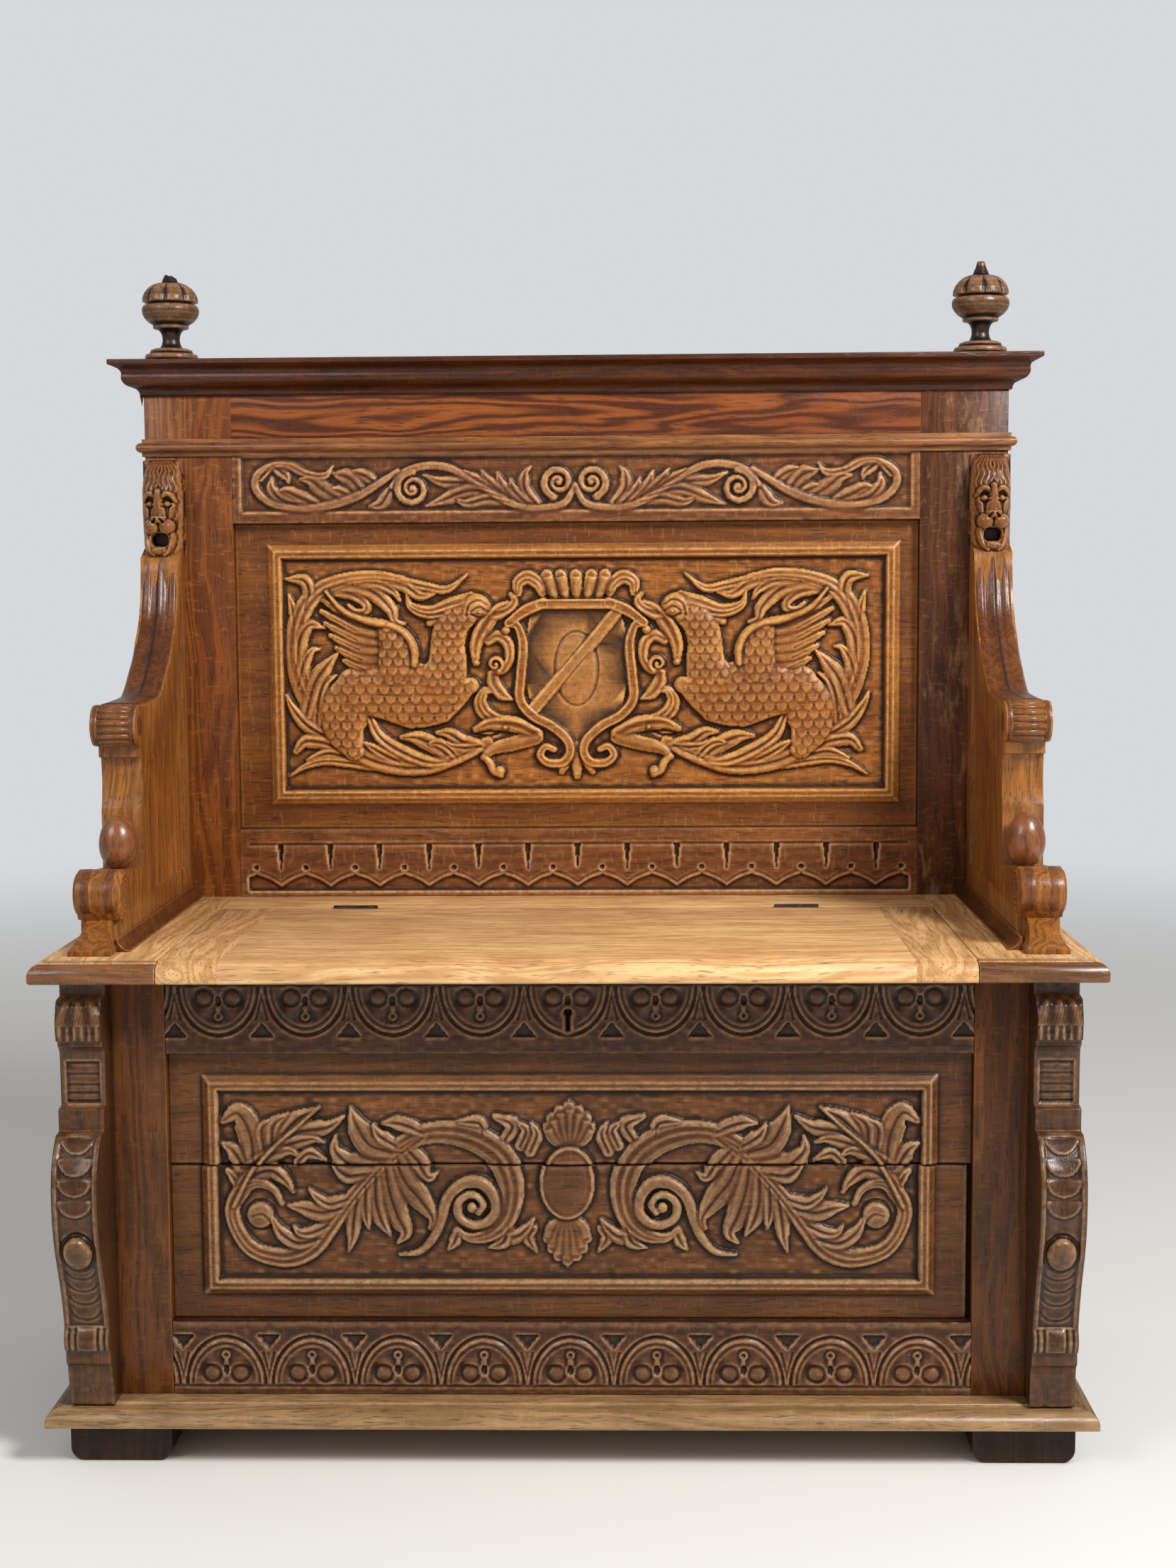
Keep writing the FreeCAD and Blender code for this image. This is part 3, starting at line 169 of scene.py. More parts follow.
# %% [markdown]
# ## Oak
#
# Oak has three marks that the eye knows. Rings cut at a slant draw long pointed arches, here
# the level lines of a stretched noise. Open pores are short dark dashes along the grain. On a
# quarter-sawn face the rays show as pale flecks across it. The pores are drawn three times
# wider than life, since a true one of 0.3 mm would vanish between two pixels.
#
# Age adds the rest. Dark wax stays in the hollows, and hands and dusters rub the high edges
# back to paler, glossier wood. The same marks carry painted light too: the darker hollows are
# partly painted shade, and the paler high edges are partly painted highlight. Carved meshes carry
# two numbers at every point that say where this happens, one for the proud edges and one for
# the hollows. A plain board has no number for the hollows, and reads it as zero.

# %% Oak finishes
GRAIN_TURNS = {"X": (0.0, 0.0, 0.0), "Y": (0.0, 0.0, math.pi / 2.0), "Z": (0.0, math.pi / 2.0, 0.0)}
# How often each pattern comes back in a metre: along the grain, then twice across it
RING_WAVES = (1.1, 16.0, 16.0)
FIBRE_WAVES = (22.0, 620.0, 620.0)
PORE_WAVES = (45.0, 560.0, 560.0)
RAY_WAVES = (300.0, 70.0, 70.0)
SCUFF_WAVES = (13.0, 42.0, 42.0)
SWAY_WAVES, STAIN_WAVES, UNEVEN_WAVES, SPECK_WAVES = 5.0, 11.0, 38.0, 140.0
SWAY = 0.03
RING_TURNS = 95.0
SCUFF_COLOUR = "#A8825C"
WAX_IOR = 1.33


def stretched(tree, place, waves, detail, roughness=0.5, **mapping):
    """A noise with its own number of waves along each axis."""
    place = add(tree, "Mapping", {"Vector": place, "Scale": waves, **mapping})
    return add(tree, "TexNoise", {"Vector": place, "Scale": 1.0, "Detail": detail, "Roughness": roughness})


def oak(name, dark, base, pale, grain="X", rings=0.5, flecks=0.3, rubbed="#B98A55", wear=0.6, patches=0.35,
        wax="#1B100A", roughness=0.40, coat=0.15, shift=0.0, scuffs=0.0):
    """Stained and waxed oak: its colours run from the dark rings to the pale early wood, and
    the grain runs along one axis of the room."""
    finish, tree = new_finish(name)
    place = add(tree, "TexCoord").outputs["Object"]
    place = add(tree, "Mapping", {"Vector": place, "Location": (shift, shift * 0.37, shift * 0.61),
                                  "Rotation": GRAIN_TURNS[grain]})
    sway = add(tree, "TexNoise", {"Vector": place, "Scale": SWAY_WAVES, "Detail": 2.0})
    sway = add(tree, "VectorMath", {0: sway.outputs["Color"], 1: (SWAY, SWAY, SWAY)}, operation="MULTIPLY")
    place = add(tree, "VectorMath", {0: place, 1: sway}, operation="ADD")

    # Rings: level lines of a noise that is some fifteen times longer along the board
    growth = stretched(tree, place, RING_WAVES, 3.0, 0.45)
    ring = add(tree, "Math", {0: growth, 1: RING_TURNS}, operation="MULTIPLY")
    ring = add(tree, "Math", {0: ring}, operation="SINE")
    ring = add(tree, "MapRange", {0: ring, 1: -1.0, 2: 1.0, 3: 0.0, 4: 1.0}, interpolation_type="SMOOTHSTEP")

    # Fibres 1 mm wide and pores drawn 0.9 mm wide, 25 mm long
    fibre = stretched(tree, place, FIBRE_WAVES, 3.0, 0.6)
    pore = stretched(tree, place, PORE_WAVES, 1.0, Location=(3.1, 1.7, 0.4))
    pore = add(tree, "MapRange", {0: pore, 1: 0.58, 2: 0.70, 3: 0.0, 4: 1.0})

    # Rays: pale flecks 2 mm thick that stand across the grain
    ray = stretched(tree, place, RAY_WAVES, 1.5, Rotation=(0.0, 0.35, 0.35))
    ray = add(tree, "MapRange", {0: ray, 1: 0.60, 2: 0.68, 3: 0.0, 4: flecks})

    tone = add(tree, "Mix", {0: 0.55, 2: fibre, 3: growth}, data_type="FLOAT")
    tone = add(tree, "MapRange", {0: tone, 1: 0.34, 2: 0.66, 3: 0.0, 4: 1.0})
    colour = add(tree, "Mix", {0: tone, 6: paint(base), 7: paint(pale)}, data_type="RGBA").outputs[2]
    ring = add(tree, "Math", {0: ring, 1: rings}, operation="MULTIPLY")
    dark_pore = add(tree, "Math", {0: pore, 1: 0.55}, operation="MULTIPLY")

    # Uneven stain, in clouds a hand wide
    cloud = add(tree, "TexNoise", {"Vector": place, "Scale": STAIN_WAVES, "Detail": 4.0, "Roughness": 0.6})
    cloud = add(tree, "MapRange", {0: cloud, 1: 0.42, 2: 0.68, 3: 0.0, 4: patches})

    # Rubbed edges are made paler, partly as wear and partly as painted highlight, and hollows are made
    # darker, partly as wax and partly as painted shade. Both are broken up by a fine noise so that neither is
    # a clean line
    speck = add(tree, "TexNoise", {"Vector": place, "Scale": SPECK_WAVES, "Detail": 3.0, "Roughness": 0.7})
    speck = add(tree, "MapRange", {0: speck, 1: 0.32, 2: 0.62, 3: 0.35, 4: 1.0})
    wear_and_highlight = add(tree, "Attribute", attribute_name="wear_and_highlight").outputs["Fac"]
    wear_and_highlight = add(tree, "Math", {0: wear_and_highlight, 1: speck}, operation="MULTIPLY")
    worn_and_highlit = add(tree, "Math", {0: wear_and_highlight, 1: wear}, operation="MULTIPLY", use_clamp=True)
    wax_and_shade = add(tree, "Attribute", attribute_name="wax_and_shade").outputs["Fac"]
    wax_and_shade = add(tree, "Math", {0: wax_and_shade, 1: 0.92}, operation="MULTIPLY", use_clamp=True)

    # Pale slanting scuffs, where something has leant and rubbed for years
    scuff = stretched(tree, place, SCUFF_WAVES, 5.0, 0.72, Rotation=(0.0, 0.5, 0.0))
    scuff = add(tree, "MapRange", {0: scuff, 1: 0.55, 2: 0.66, 3: 0.0, 4: scuffs})

    # The coats of colour, from the bare wood outwards
    for share, code in ((ring, dark), (ray, rubbed), (dark_pore, wax), (cloud, dark), (worn_and_highlit, rubbed),
                        (wax_and_shade, wax), (scuff, SCUFF_COLOUR)):
        mixed = add(tree, "Mix", {0: share, 6: colour, 7: paint(code)}, data_type="RGBA")
        colour = mixed.outputs[2]

    # The wax shines where it is rubbed and goes dull where it is thick
    sheen = add(tree, "MapRange", {0: fibre, 1: 0.3, 2: 0.7, 3: roughness - 0.07, 4: roughness + 0.12})
    sheen = add(tree, "Math", {0: worn_and_highlit, 1: -0.16, 2: sheen}, operation="MULTIPLY_ADD")
    relief = add(tree, "Math", {0: pore, 1: -0.8, 2: fibre}, operation="MULTIPLY_ADD")
    grainy = add(tree, "Bump", {"Strength": 0.35, "Distance": 0.0005, "Height": relief})
    uneven = add(tree, "TexNoise", {"Vector": place, "Scale": UNEVEN_WAVES, "Detail": 2.0})
    grainy = add(tree, "Bump", {"Strength": 0.25, "Distance": 0.003, "Height": uneven, "Normal": grainy})
    wood = add(tree, "BsdfPrincipled", {"Base Color": colour, "Roughness": sheen, "Normal": grainy,
                                        "IOR": WAX_IOR, "Coat Weight": coat, "Coat Roughness": 0.3})
    add(tree, "OutputMaterial", {"Surface": wood})
    return finish


# %% [markdown]
# ## A carver's board
#
# A relief is a height for every point of a board, so it is kept as a grid of numbers with one
# point about every millimetre. That is finer than a gouge's edge is round. Each cut or leaf is a stroke:
# a smooth line through a few given places, with a width that swells and tapers. The
# stroke raises the grid around its line, and where two overlap the higher one wins, which
# leaves the sharp valley that a carver sets in between with a V tool.

# %% Strokes
def blank(x_low, x_high, z_low, z_high, step=1.2):
    """A flat board as a grid of places and heights, in millimetres."""
    columns = np.linspace(x_low, x_high, int(round((x_high - x_low) / step)) + 1)
    rows = np.linspace(z_low, z_high, int(round((z_high - z_low) / step)) + 1)
    X, Z = np.meshgrid(columns, rows)
    return {"X": X, "Z": Z, "H": np.zeros_like(X), "step": step}


def smooth_line(points, spans=9):
    """A Catmull-Rom line through the points, with so many short runs between each two."""
    p = np.array(points, float)
    p = np.vstack([2 * p[0] - p[1], p, 2 * p[-1] - p[-2]])
    line = []
    for a, b, c, d in zip(p, p[1:], p[2:], p[3:]):
        for t in np.linspace(0.0, 1.0, spans, endpoint=False):
            line.append(0.5 * (2 * b + (c - a) * t + (2 * a - 5 * b + 4 * c - d) * t ** 2
                               + (3 * b - a - 3 * c + d) * t ** 3))
    return np.vstack([line, p[-2]])


def near_line(line, X, Z):
    """For every place: the distance to the line, its side and how far along the nearest point is."""
    best = np.full(X.shape, 1e9)
    side = np.ones(X.shape)
    along = np.zeros(X.shape)
    runs = np.linalg.norm(np.diff(line, axis=0), axis=1)
    reached = np.concatenate([[0.0], np.cumsum(runs)])
    for (ax, az), (bx, bz), run, start in zip(line, line[1:], runs, reached):
        ux, uz = (bx - ax) / (run + 1e-9), (bz - az) / (run + 1e-9)
        t = np.clip((X - ax) * ux + (Z - az) * uz, 0.0, run)
        gap = (X - ax - t * ux) ** 2 + (Z - az - t * uz) ** 2
        closer = gap < best
        best = np.where(closer, gap, best)
        along = np.where(closer, start + t, along)
        side = np.where(closer, np.sign((X - ax) * uz - (Z - az) * ux), side)
    return np.sqrt(best), side, along / reached[-1]


def v_cut(distance, width=1.0):
    """The section of a V cut: 1 on its line and next to nothing two widths away."""
    return np.exp(-(distance / width) ** 2)


def scale_tiles(u, v, size):
    """Overlapping round scales: each one climbs to its free edge and drops to the next."""
    lift = np.zeros_like(u)
    step = 0.78 * size
    row = np.floor(u / step)
    for back in (0, 1):
        line = row - back
        across = v / size - 0.5 * np.mod(line, 2.0)
        across = (across - np.round(across)) / 0.53
        down = (u / step - line) / 1.45
        r = np.sqrt(np.maximum(across ** 2 + np.clip(down - 0.25, 0.0, None) ** 2 * 1.78, 0.0))
        lift = np.where(r < 1.0, 0.15 + 0.75 * down + 0.22 * np.clip((1.0 - r) / 0.3, 0.0, 1.0), lift)
    return lift


def stroke(board, points, widths, rise, kind="leaf", flutes=2, both=True, base=0.0, size=9.0):
    """One carved form along a line, and its mirror image on the other half of the board."""
    for hand in ((1.0, -1.0) if both else (1.0,)):
        line = smooth_line([(x * hand, z) for x, z in points])
        reach = max(widths) + board["step"]
        X, Z, H = board["X"], board["Z"], board["H"]
        columns = np.where((X[0] > line[:, 0].min() - reach) & (X[0] < line[:, 0].max() + reach))[0]
        rows = np.where((Z[:, 0] > line[:, 1].min() - reach) & (Z[:, 0] < line[:, 1].max() + reach))[0]
        if len(columns) == 0 or len(rows) == 0:
            continue
        patch = np.s_[rows[0]:rows[-1] + 1, columns[0]:columns[-1] + 1]
        far, side, along = near_line(line, X[patch], Z[patch])
        width = np.interp(along, np.linspace(0.0, 1.0, len(widths)), widths)
        s = side * hand * far / np.maximum(width, 0.3)
        inside = np.abs(s) < 1.0
        s = np.clip(s, -1.0, 1.0)
        round_top = np.sqrt(1.0 - s ** 2)
        if kind == "stem":
            form = rise * round_top
        elif kind == "band":
            form = rise * np.minimum(1.0, (1.0 - np.abs(s)) * 4.0) * (0.86 + 0.14 * (np.abs(s) > 0.55))
        elif kind == "scales":
            form = rise * round_top ** 0.8 + 3.0 * scale_tiles(-Z[patch], X[patch], size) * round_top ** 0.3
        elif kind == "gouge":
            form = -rise * (1.0 - s ** 2)
        else:
            grow = np.interp(along, (0.0, 0.25, 0.75, 0.92, 1.0), (0.6, 0.8, 1.0, 1.0, 0.6))
            ripple = 0.5 + 0.5 * np.cos(math.pi * flutes * (s + 1.0))
            thinner = 1.0 - 0.34 * ripple * (1.0 - along ** 4)
            form = rise * grow * round_top ** 0.6 * (0.78 + 0.22 * s) * thinner
        under = base[patch] if isinstance(base, np.ndarray) else base
        if kind == "gouge":
            H[patch] = np.where(inside, H[patch] + form, H[patch])
        else:
            H[patch] = np.where(inside, np.maximum(H[patch], under + form), H[patch])


def button(board, x, z, radius_x, radius_z, rise, both=True, base=0.0, ring=0.0):
    """A round boss, with a fine ring cut round it where one is wanted."""
    for hand in ((1.0, -1.0) if both else (1.0,)):
        r = np.sqrt(((board["X"] - x * hand) / radius_x) ** 2 + ((board["Z"] - z) / radius_z) ** 2)
        dome = base + rise * np.sqrt(np.clip(1.0 - r ** 2, 0.0, 1.0))
        board["H"] = np.where(r < 1.0, np.maximum(board["H"], dome), board["H"])
        if ring > 0.0:
            board["H"] -= ring * v_cut((r - 1.08) * radius_x, 0.9)


def volute(board, x, z, radius, turns, start, width, rise, hand=1.0):
    """A stem that winds into a spiral and ends in a button."""
    places = []
    for t in np.linspace(0.0, 1.0, int(turns * 8) + 2):
        angle = math.radians(start) + hand * t * turns * 2.0 * math.pi
        r = radius * (1.0 - 0.80 * t)
        places.append((x + r * math.cos(angle), z + r * math.sin(angle)))
    stroke(board, places, [width, width * 0.45], rise, "stem")
    button(board, x, z, radius * 0.24, radius * 0.24, rise * 1.05)


def blurred(H, rounds):
    """The heights after so many rounds of averaging with their neighbours."""
    for _ in range(rounds):
        H = np.pad(H, 1, mode="edge")
        H = (H[:-2, 1:-1] + H[2:, 1:-1] + H[1:-1, :-2] + H[1:-1, 2:] + 2.0 * H[1:-1, 1:-1]) / 6.0
    return H


# %% [markdown]
# ## From heights to a mesh
#
# The grid becomes the front of a closed block: the outer ring of points is folded back, first
# by a millimetre so that the arris looks rubbed round, then to the back of the board, where
# one face closes it. Comparing the heights with a blurred copy of themselves tells which
# points stand proud and which lie in a hollow, and both go onto the mesh for the finish. The finish
# paints the proud points paler (wear and painted highlight) and the hollows darker (wax and
# painted shade).

# %% Boards from heights
def finish_mesh(name, points, faces, marks, material, stands_for=(), keep=1.0):
    """Makes the object on the settle's frame, gives it its marks and finish, and lets it stand
    for the CAD nodes that are named.
    Where keep is below 1, flat ground gives up faces first and the carving keeps its own."""
    mesh = bpy.data.meshes.new(name)
    mesh.from_pydata([tuple(p) for p in points * MM], [], faces)
    for mark, values in marks.items():
        layer = mesh.attributes.new(mark, "FLOAT", "POINT")
        layer.data.foreach_set("value", np.ascontiguousarray(values, np.float32))
    mesh.polygons.foreach_set("use_smooth", [True] * len(mesh.polygons))
    mesh.materials.append(material)
    mesh.update()
    piece = new_object(name, mesh)
    if keep < 1.0:
        thin = piece.modifiers.new("thin_out", "DECIMATE")
        thin.ratio = keep
        lighter = bpy.data.meshes.new_from_object(piece.evaluated_get(bpy.context.evaluated_depsgraph_get()))
        piece.modifiers.remove(thin)
        piece.data = lighter
    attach(piece, "settle_frame")
    if stands_for:
        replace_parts(piece, *stands_for)
    return piece


def ring_faces(rows, columns, closed=False):
    """Four-sided faces between neighbouring rows of a grid, whose columns may close to rings."""
    index = np.arange(rows * columns).reshape(rows, columns)
    if closed:
        index = np.hstack([index, index[:, :1]])
    corners = [index[:-1, :-1], index[:-1, 1:], index[1:, 1:], index[1:, :-1]]
    return np.stack(corners, -1).reshape(-1, 4).tolist()


def proud_and_hollow(H, near=5, far=16, proud_by=0.42, deep_by=0.95):
    """Crisp edges stand proud of what is close by. Valleys lie below what is further round."""
    proud = (H - blurred(H, near)) / proud_by
    deep = (blurred(H, far) - H) / deep_by
    return np.clip(proud, 0.0, 1.0), np.clip(deep, 0.0, 1.0)


def relief_board(name, board, face, back, material, stands_for=(), keep=1.0):
    """A closed block whose front carries the heights. Depths count from the seat's edge, and
    the face may be one depth or a depth for every point. A board's "tone" paints it paler where
    it is above zero and darker where it is below. On the box's upper rail that darkening is the
    painted shadow of the seat."""
    X, Z, H = board["X"], board["Z"], blurred(board["H"], 1)
    edge = np.minimum(np.minimum(X - X.min(), X.max() - X), np.minimum(Z - Z.min(), Z.max() - Z))
    H = H - 0.5 * np.exp(-edge / 0.9)
    # Proud points get the paler mark (wear and painted highlight), hollows get the dark mark (wax and painted
    # shade)
    wear_and_highlight, wax_and_shade = proud_and_hollow(H)
    tone = board.get("tone", np.zeros_like(X))
    wear_and_highlight = np.clip(wear_and_highlight + np.maximum(tone, 0.0), 0.0, 1.0)
    wax_and_shade = np.clip(wax_and_shade + np.maximum(-tone, 0.0), 0.0, 1.0)
    X, Y, Z = (np.pad(v, 2, mode="edge") for v in (X, face - H + FRONT_EDGE, Z))
    for line in (np.s_[1:-1, (1, -2)], np.s_[(1, -2), 1:-1]):
        Y[line] = np.minimum(Y[line] + 1.0, back + FRONT_EDGE)
    for line in (np.s_[(0, -1), :], np.s_[:, (0, -1)]):
        Y[line] = back + FRONT_EDGE
    points = np.stack([X, Y, Z], -1)
    rows, columns = X.shape
    index = np.arange(rows * columns).reshape(rows, columns)
    rim = np.concatenate([index[0, :-1], index[:-1, -1], index[-1, :0:-1], index[:0:-1, 0]])
    faces = ring_faces(rows, columns) + [rim[::-1].tolist()]
    marks = {"wear_and_highlight": np.pad(wear_and_highlight, 2).ravel(), "wax_and_shade": np.pad(wax_and_shade, 2).ravel()}
    piece = finish_mesh(name, points.reshape(-1, 3), faces, marks, material, stands_for, keep)
    print(name, "-", len(piece.data.polygons), "faces, relief", round(float(H.max() - H.min()), 1), "mm")
    return piece


# %% [markdown]
# ## Plain boards
#
# Most of the settle is plain planed oak. The frame already has these boards at their true size,
# but their arrises are razor sharp, and no old board has one. Each plain board is therefore
# copied, its loose triangles are welded, and every sharp edge is rounded by about a millimetre.
# What lies wholly in the rounding is marked, so that the finish makes it paler: partly rubbed
# wear and partly a painted highlight along the arris.

# %% Boards with softened arrises
def softened(node, material, width=1.1, sharp=25.0):
    """A copy of a board with its arrises rubbed round. It stands for the CAD node."""
    bm = bmesh.new()
    bm.from_mesh(nodes[node].data)
    wear_and_highlight = bm.verts.layers.float.new("wear_and_highlight")
    bmesh.ops.transform(bm, matrix=nodes[node].matrix_world, verts=bm.verts)
    bmesh.ops.remove_doubles(bm, verts=bm.verts, dist=2e-6)
    bmesh.ops.dissolve_limit(bm, angle_limit=math.radians(0.4), verts=bm.verts, edges=bm.edges)
    arrises = [e for e in bm.edges if len(e.link_faces) == 2 and e.calc_face_angle(0.0) > math.radians(sharp)]
    rounded = bmesh.ops.bevel(bm, geom=arrises, offset=width * MM, offset_type="OFFSET", segments=2,
                              profile=0.5, affect="EDGES", clamp_overlap=True)
    rounding = set(rounded["faces"])
    # Points wholly in the rounding get the paler mark: rubbed wear and a painted highlight on the arris
    for vertex in rounded["verts"]:
        vertex[wear_and_highlight] = 0.8 if all(face in rounding for face in vertex.link_faces) else 0.0
    mesh = bpy.data.meshes.new("plain_" + node)
    bm.to_mesh(mesh)
    bm.free()
    mesh.polygons.foreach_set("use_smooth", [True] * len(mesh.polygons))
    mesh.set_sharp_from_angle(angle=math.radians(38.0))
    mesh.materials.clear()
    mesh.materials.append(material)
    piece = new_object("plain_" + node, mesh)
    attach(piece, nodes[node]["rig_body"])
    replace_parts(piece, node)
    return piece


def push_back(piece, before, depth, above=-1.0):
    """Moves what lies in front of one depth, and above a level, back to another depth."""
    for vertex in piece.data.vertices:
        if vertex.co.y < (before + FRONT_EDGE) * MM and vertex.co.z > above * MM:
            vertex.co.y = (depth + FRONT_EDGE) * MM


# %% [markdown]
# ## The finishes of this settle
#
# The parts come from different trees and were stained in different years. The back panel is
# golden, the box is dark and reddish with two dull and dusty front boards, the arms are dark
# brown on the front and paler on their sides, part of that paleness being painted light from the
# lamp on the right, and the seat is bleached by use.
#
# Each call below gives, in this order: the name, the dark, middle and pale colour, the grain's
# axis, the strength of rings and of flecks, the rubbed colour, wear and patches, the wax, the
# roughness, the coat, a shift to another part of the pattern, and scuffs. The rubbed colour and
# the wear also make the edges paler as painted highlight. The wax also darkens the hollows as
# painted shade.

# %% Oak, board by board
panel_oak = oak("waxed_golden_oak", "#4C240B", "#844517", "#AA6828", "X", 0.32, 0.2, "#DDA663", 0.9, 0.3,
                "#1A0B04")
rail_oak = oak("waxed_brown_oak", "#3C1B0B", "#6C3A1A", "#8E572A", "X", 0.4, 0.15, "#CE9A68", 0.9, 0.35,
               "#150A05")
frieze_oak = oak("figured_red_oak", "#3E1809", "#7E3C17", "#9C5522", "X", 0.85, 0.05, "#BC7A40", 0.5, 0.2,
                 "#220F06", 0.34, 0.2, 2.3)
moulding_oak = oak("waxed_moulding_oak", "#1C0B04", "#461E08", "#603010", "X", 0.4, 0.05, "#BC8250", 0.9,
                   0.35, "#160A04", 0.32, 0.25, 5.1)
# Paler than the cornice moulding, partly as painted highlight on the beads; the stronger coat is its real
# gloss
highlit_string_oak = oak("polished_string_oak_painted_highlight", "#3A1A0A", "#7C4420", "#A26A3A", "X", 0.4, 0.05, "#D8AC78", 1.0, 0.3,
                 "#120804", 0.3, 0.4, 3.1)
stile_oak = oak("waxed_stile_oak", "#451D08", "#7A3E14", "#9A5C24", "Z", 0.55, 0.2, "#BC8448", 0.6, 0.25,
                "#1E0E05")
scuffed_stile_oak = oak("scuffed_stile_oak", "#2C130A", "#522A12", "#6E4020", "Z", 0.5, 0.2, "#A97C4E", 0.6,
                        0.35, "#1A0C05", 0.38, 0.15, 4.0, 0.45)
box_oak = oak("dark_box_oak", "#180A04", "#40200B", "#5C3315", "X", 0.4, 0.1, "#A67850", 0.9, 0.4, "#0A0502",
              0.36, 0.15)
box_stile_oak = oak("dark_box_stile_oak", "#281206", "#58300E", "#744218", "Z", 0.5, 0.12, "#A2703C", 0.6,
                    0.35, "#120804", 0.36, 0.15, 1.3)
dusty_oak = oak("dusty_carved_oak", "#281106", "#582D0E", "#7A4A1D", "X", 0.3, 0.1, "#B18C66", 0.85, 0.4,
                "#0E0704", 0.44, 0.12, 3.7)
arm_oak = oak("handled_dark_oak", "#24100A", "#5A2B10", "#804A22", "Z", 0.35, 0.05, "#BE8650", 0.8, 0.35,
              "#0E0603", 0.27, 0.3, 4.4)
# Paler sides, partly painted light: they stand in for the lamp on the right lighting the inner side of the
# left arm
arm_side_lit_oak = oak("handled_arm_side_oak_painted_lit", "#46210C", "#884C1C", "#B07434", "Z", 0.45, 0.1, "#C79255", 0.7,
                   0.3, "#160A04", 0.32, 0.2, 4.9, 0.25)
console_oak = oak("handled_console_oak", "#180B05", "#40200A", "#603A18", "Z", 0.35, 0.05, "#A67E58", 0.8,
                  0.4, "#0C0603", 0.28, 0.3, 5.4)
seat_oak = oak("bleached_seat_oak", "#AC7440", "#E2AE74", "#F2C88E", "X", 0.5, 0.15, "#DDB27A", 0.4, 0.35,
               "#5A3618", 0.42, 0.1, 6.6)
cleat_oak = oak("bleached_cleat_oak", "#A06C3C", "#D8A46A", "#ECC086", "Y", 0.5, 0.15, "#D6AA72", 0.4, 0.35,
                "#4E2F16", 0.42, 0.1, 7.7)
plinth_oak = oak("dulled_plinth_oak", "#54381E", "#967248", "#BC976A", "X", 0.35, 0.15, "#C4A47C", 0.7, 0.4,
                 "#1C1109", 0.34, 0.25, 8.2)
foot_oak = oak("dark_foot_oak", "#120A06", "#2A180E", "#3F2818", "Z", 0.4, 0.1, "#6E4E30", 0.5, 0.5,
               "#0E0704", 0.5, 0.05, 9.3)
plain_oak = oak("unpolished_oak", "#4A3018", "#74512C", "#8E6A40", "X", 0.5, 0.1, "#94744C", 0.2, 0.5,
                "#2A1808", 0.68, 0.0, 1.9)
plain_upright_oak = oak("unpolished_upright_oak", "#4A3018", "#74512C", "#8E6A40", "Z", 0.5, 0.1, "#94744C",
                        0.2, 0.5, "#2A1808", 0.68, 0.0, 2.9)
finial_oak = oak("dark_turned_oak", "#120804", "#2A160B", "#442715", "Z", 0.3, 0.0, "#A37650", 0.8, 0.3,
                 "#090402", 0.3, 0.3, 3.3)
box_side_oak = oak("dark_box_side_oak", "#271107", "#502A10", "#6C3E1C", "Y", 0.45, 0.1, "#A2703C", 0.6, 0.35,
                   "#120804", 0.38, 0.15, 2.2)
plinth_side_oak = oak("dulled_plinth_side_oak", "#3A2615", "#6E5030", "#8E704A", "Y", 0.35, 0.15, "#B4946A",
                      0.6, 0.4, "#1C1109", 0.38, 0.2, 8.8)
egg_oak = oak("polished_egg_oak", "#34170A", "#6E3C1C", "#9A5E34", "Z", 0.35, 0.0, "#8E5630", 0.4, 0.3,
              "#0E0704", 0.2, 0.8, 6.1)
# Hands have darkened and polished the outer edges of the two seat ends
edge_oak = oak("handled_seat_edge_oak", "#2A1209", "#6A3C1E", "#94643A", "X", 0.4, 0.1, "#D2A478", 0.9, 0.4,
               "#120804", 0.26, 0.5, 4.4)


def wrought_iron(name, dark, pale, roughness):
    """Hand-forged iron, blackened by age, with brown rust in clouds 10 mm across."""
    finish, tree = new_finish(name)
    place = add(tree, "TexCoord").outputs["Object"]
    cloud = add(tree, "TexNoise", {"Vector": place, "Scale": 90.0, "Detail": 5.0, "Roughness": 0.65})
    rust = add(tree, "MapRange", {0: cloud, 1: 0.45, 2: 0.70, 3: 0.0, 4: 1.0})
    colour = add(tree, "Mix", {0: rust, 6: paint(dark), 7: paint(pale)}, data_type="RGBA").outputs[2]
    dull = add(tree, "Math", {0: rust, 1: 0.3, 2: roughness}, operation="MULTIPLY_ADD")
    metal = add(tree, "Math", {0: rust, 1: -0.7, 2: 1.0}, operation="MULTIPLY_ADD")
    pits = add(tree, "Bump", {"Strength": 0.3, "Distance": 0.0004, "Height": cloud})
    iron = add(tree, "BsdfPrincipled", {"Base Color": colour, "Roughness": dull, "Metallic": metal,
                                        "Normal": pits})
    add(tree, "OutputMaterial", {"Surface": iron})
    return finish


iron = wrought_iron("blackened_iron", "#3A3836", "#4A2F20", 0.42)
print("finishes:", len(bpy.data.materials))

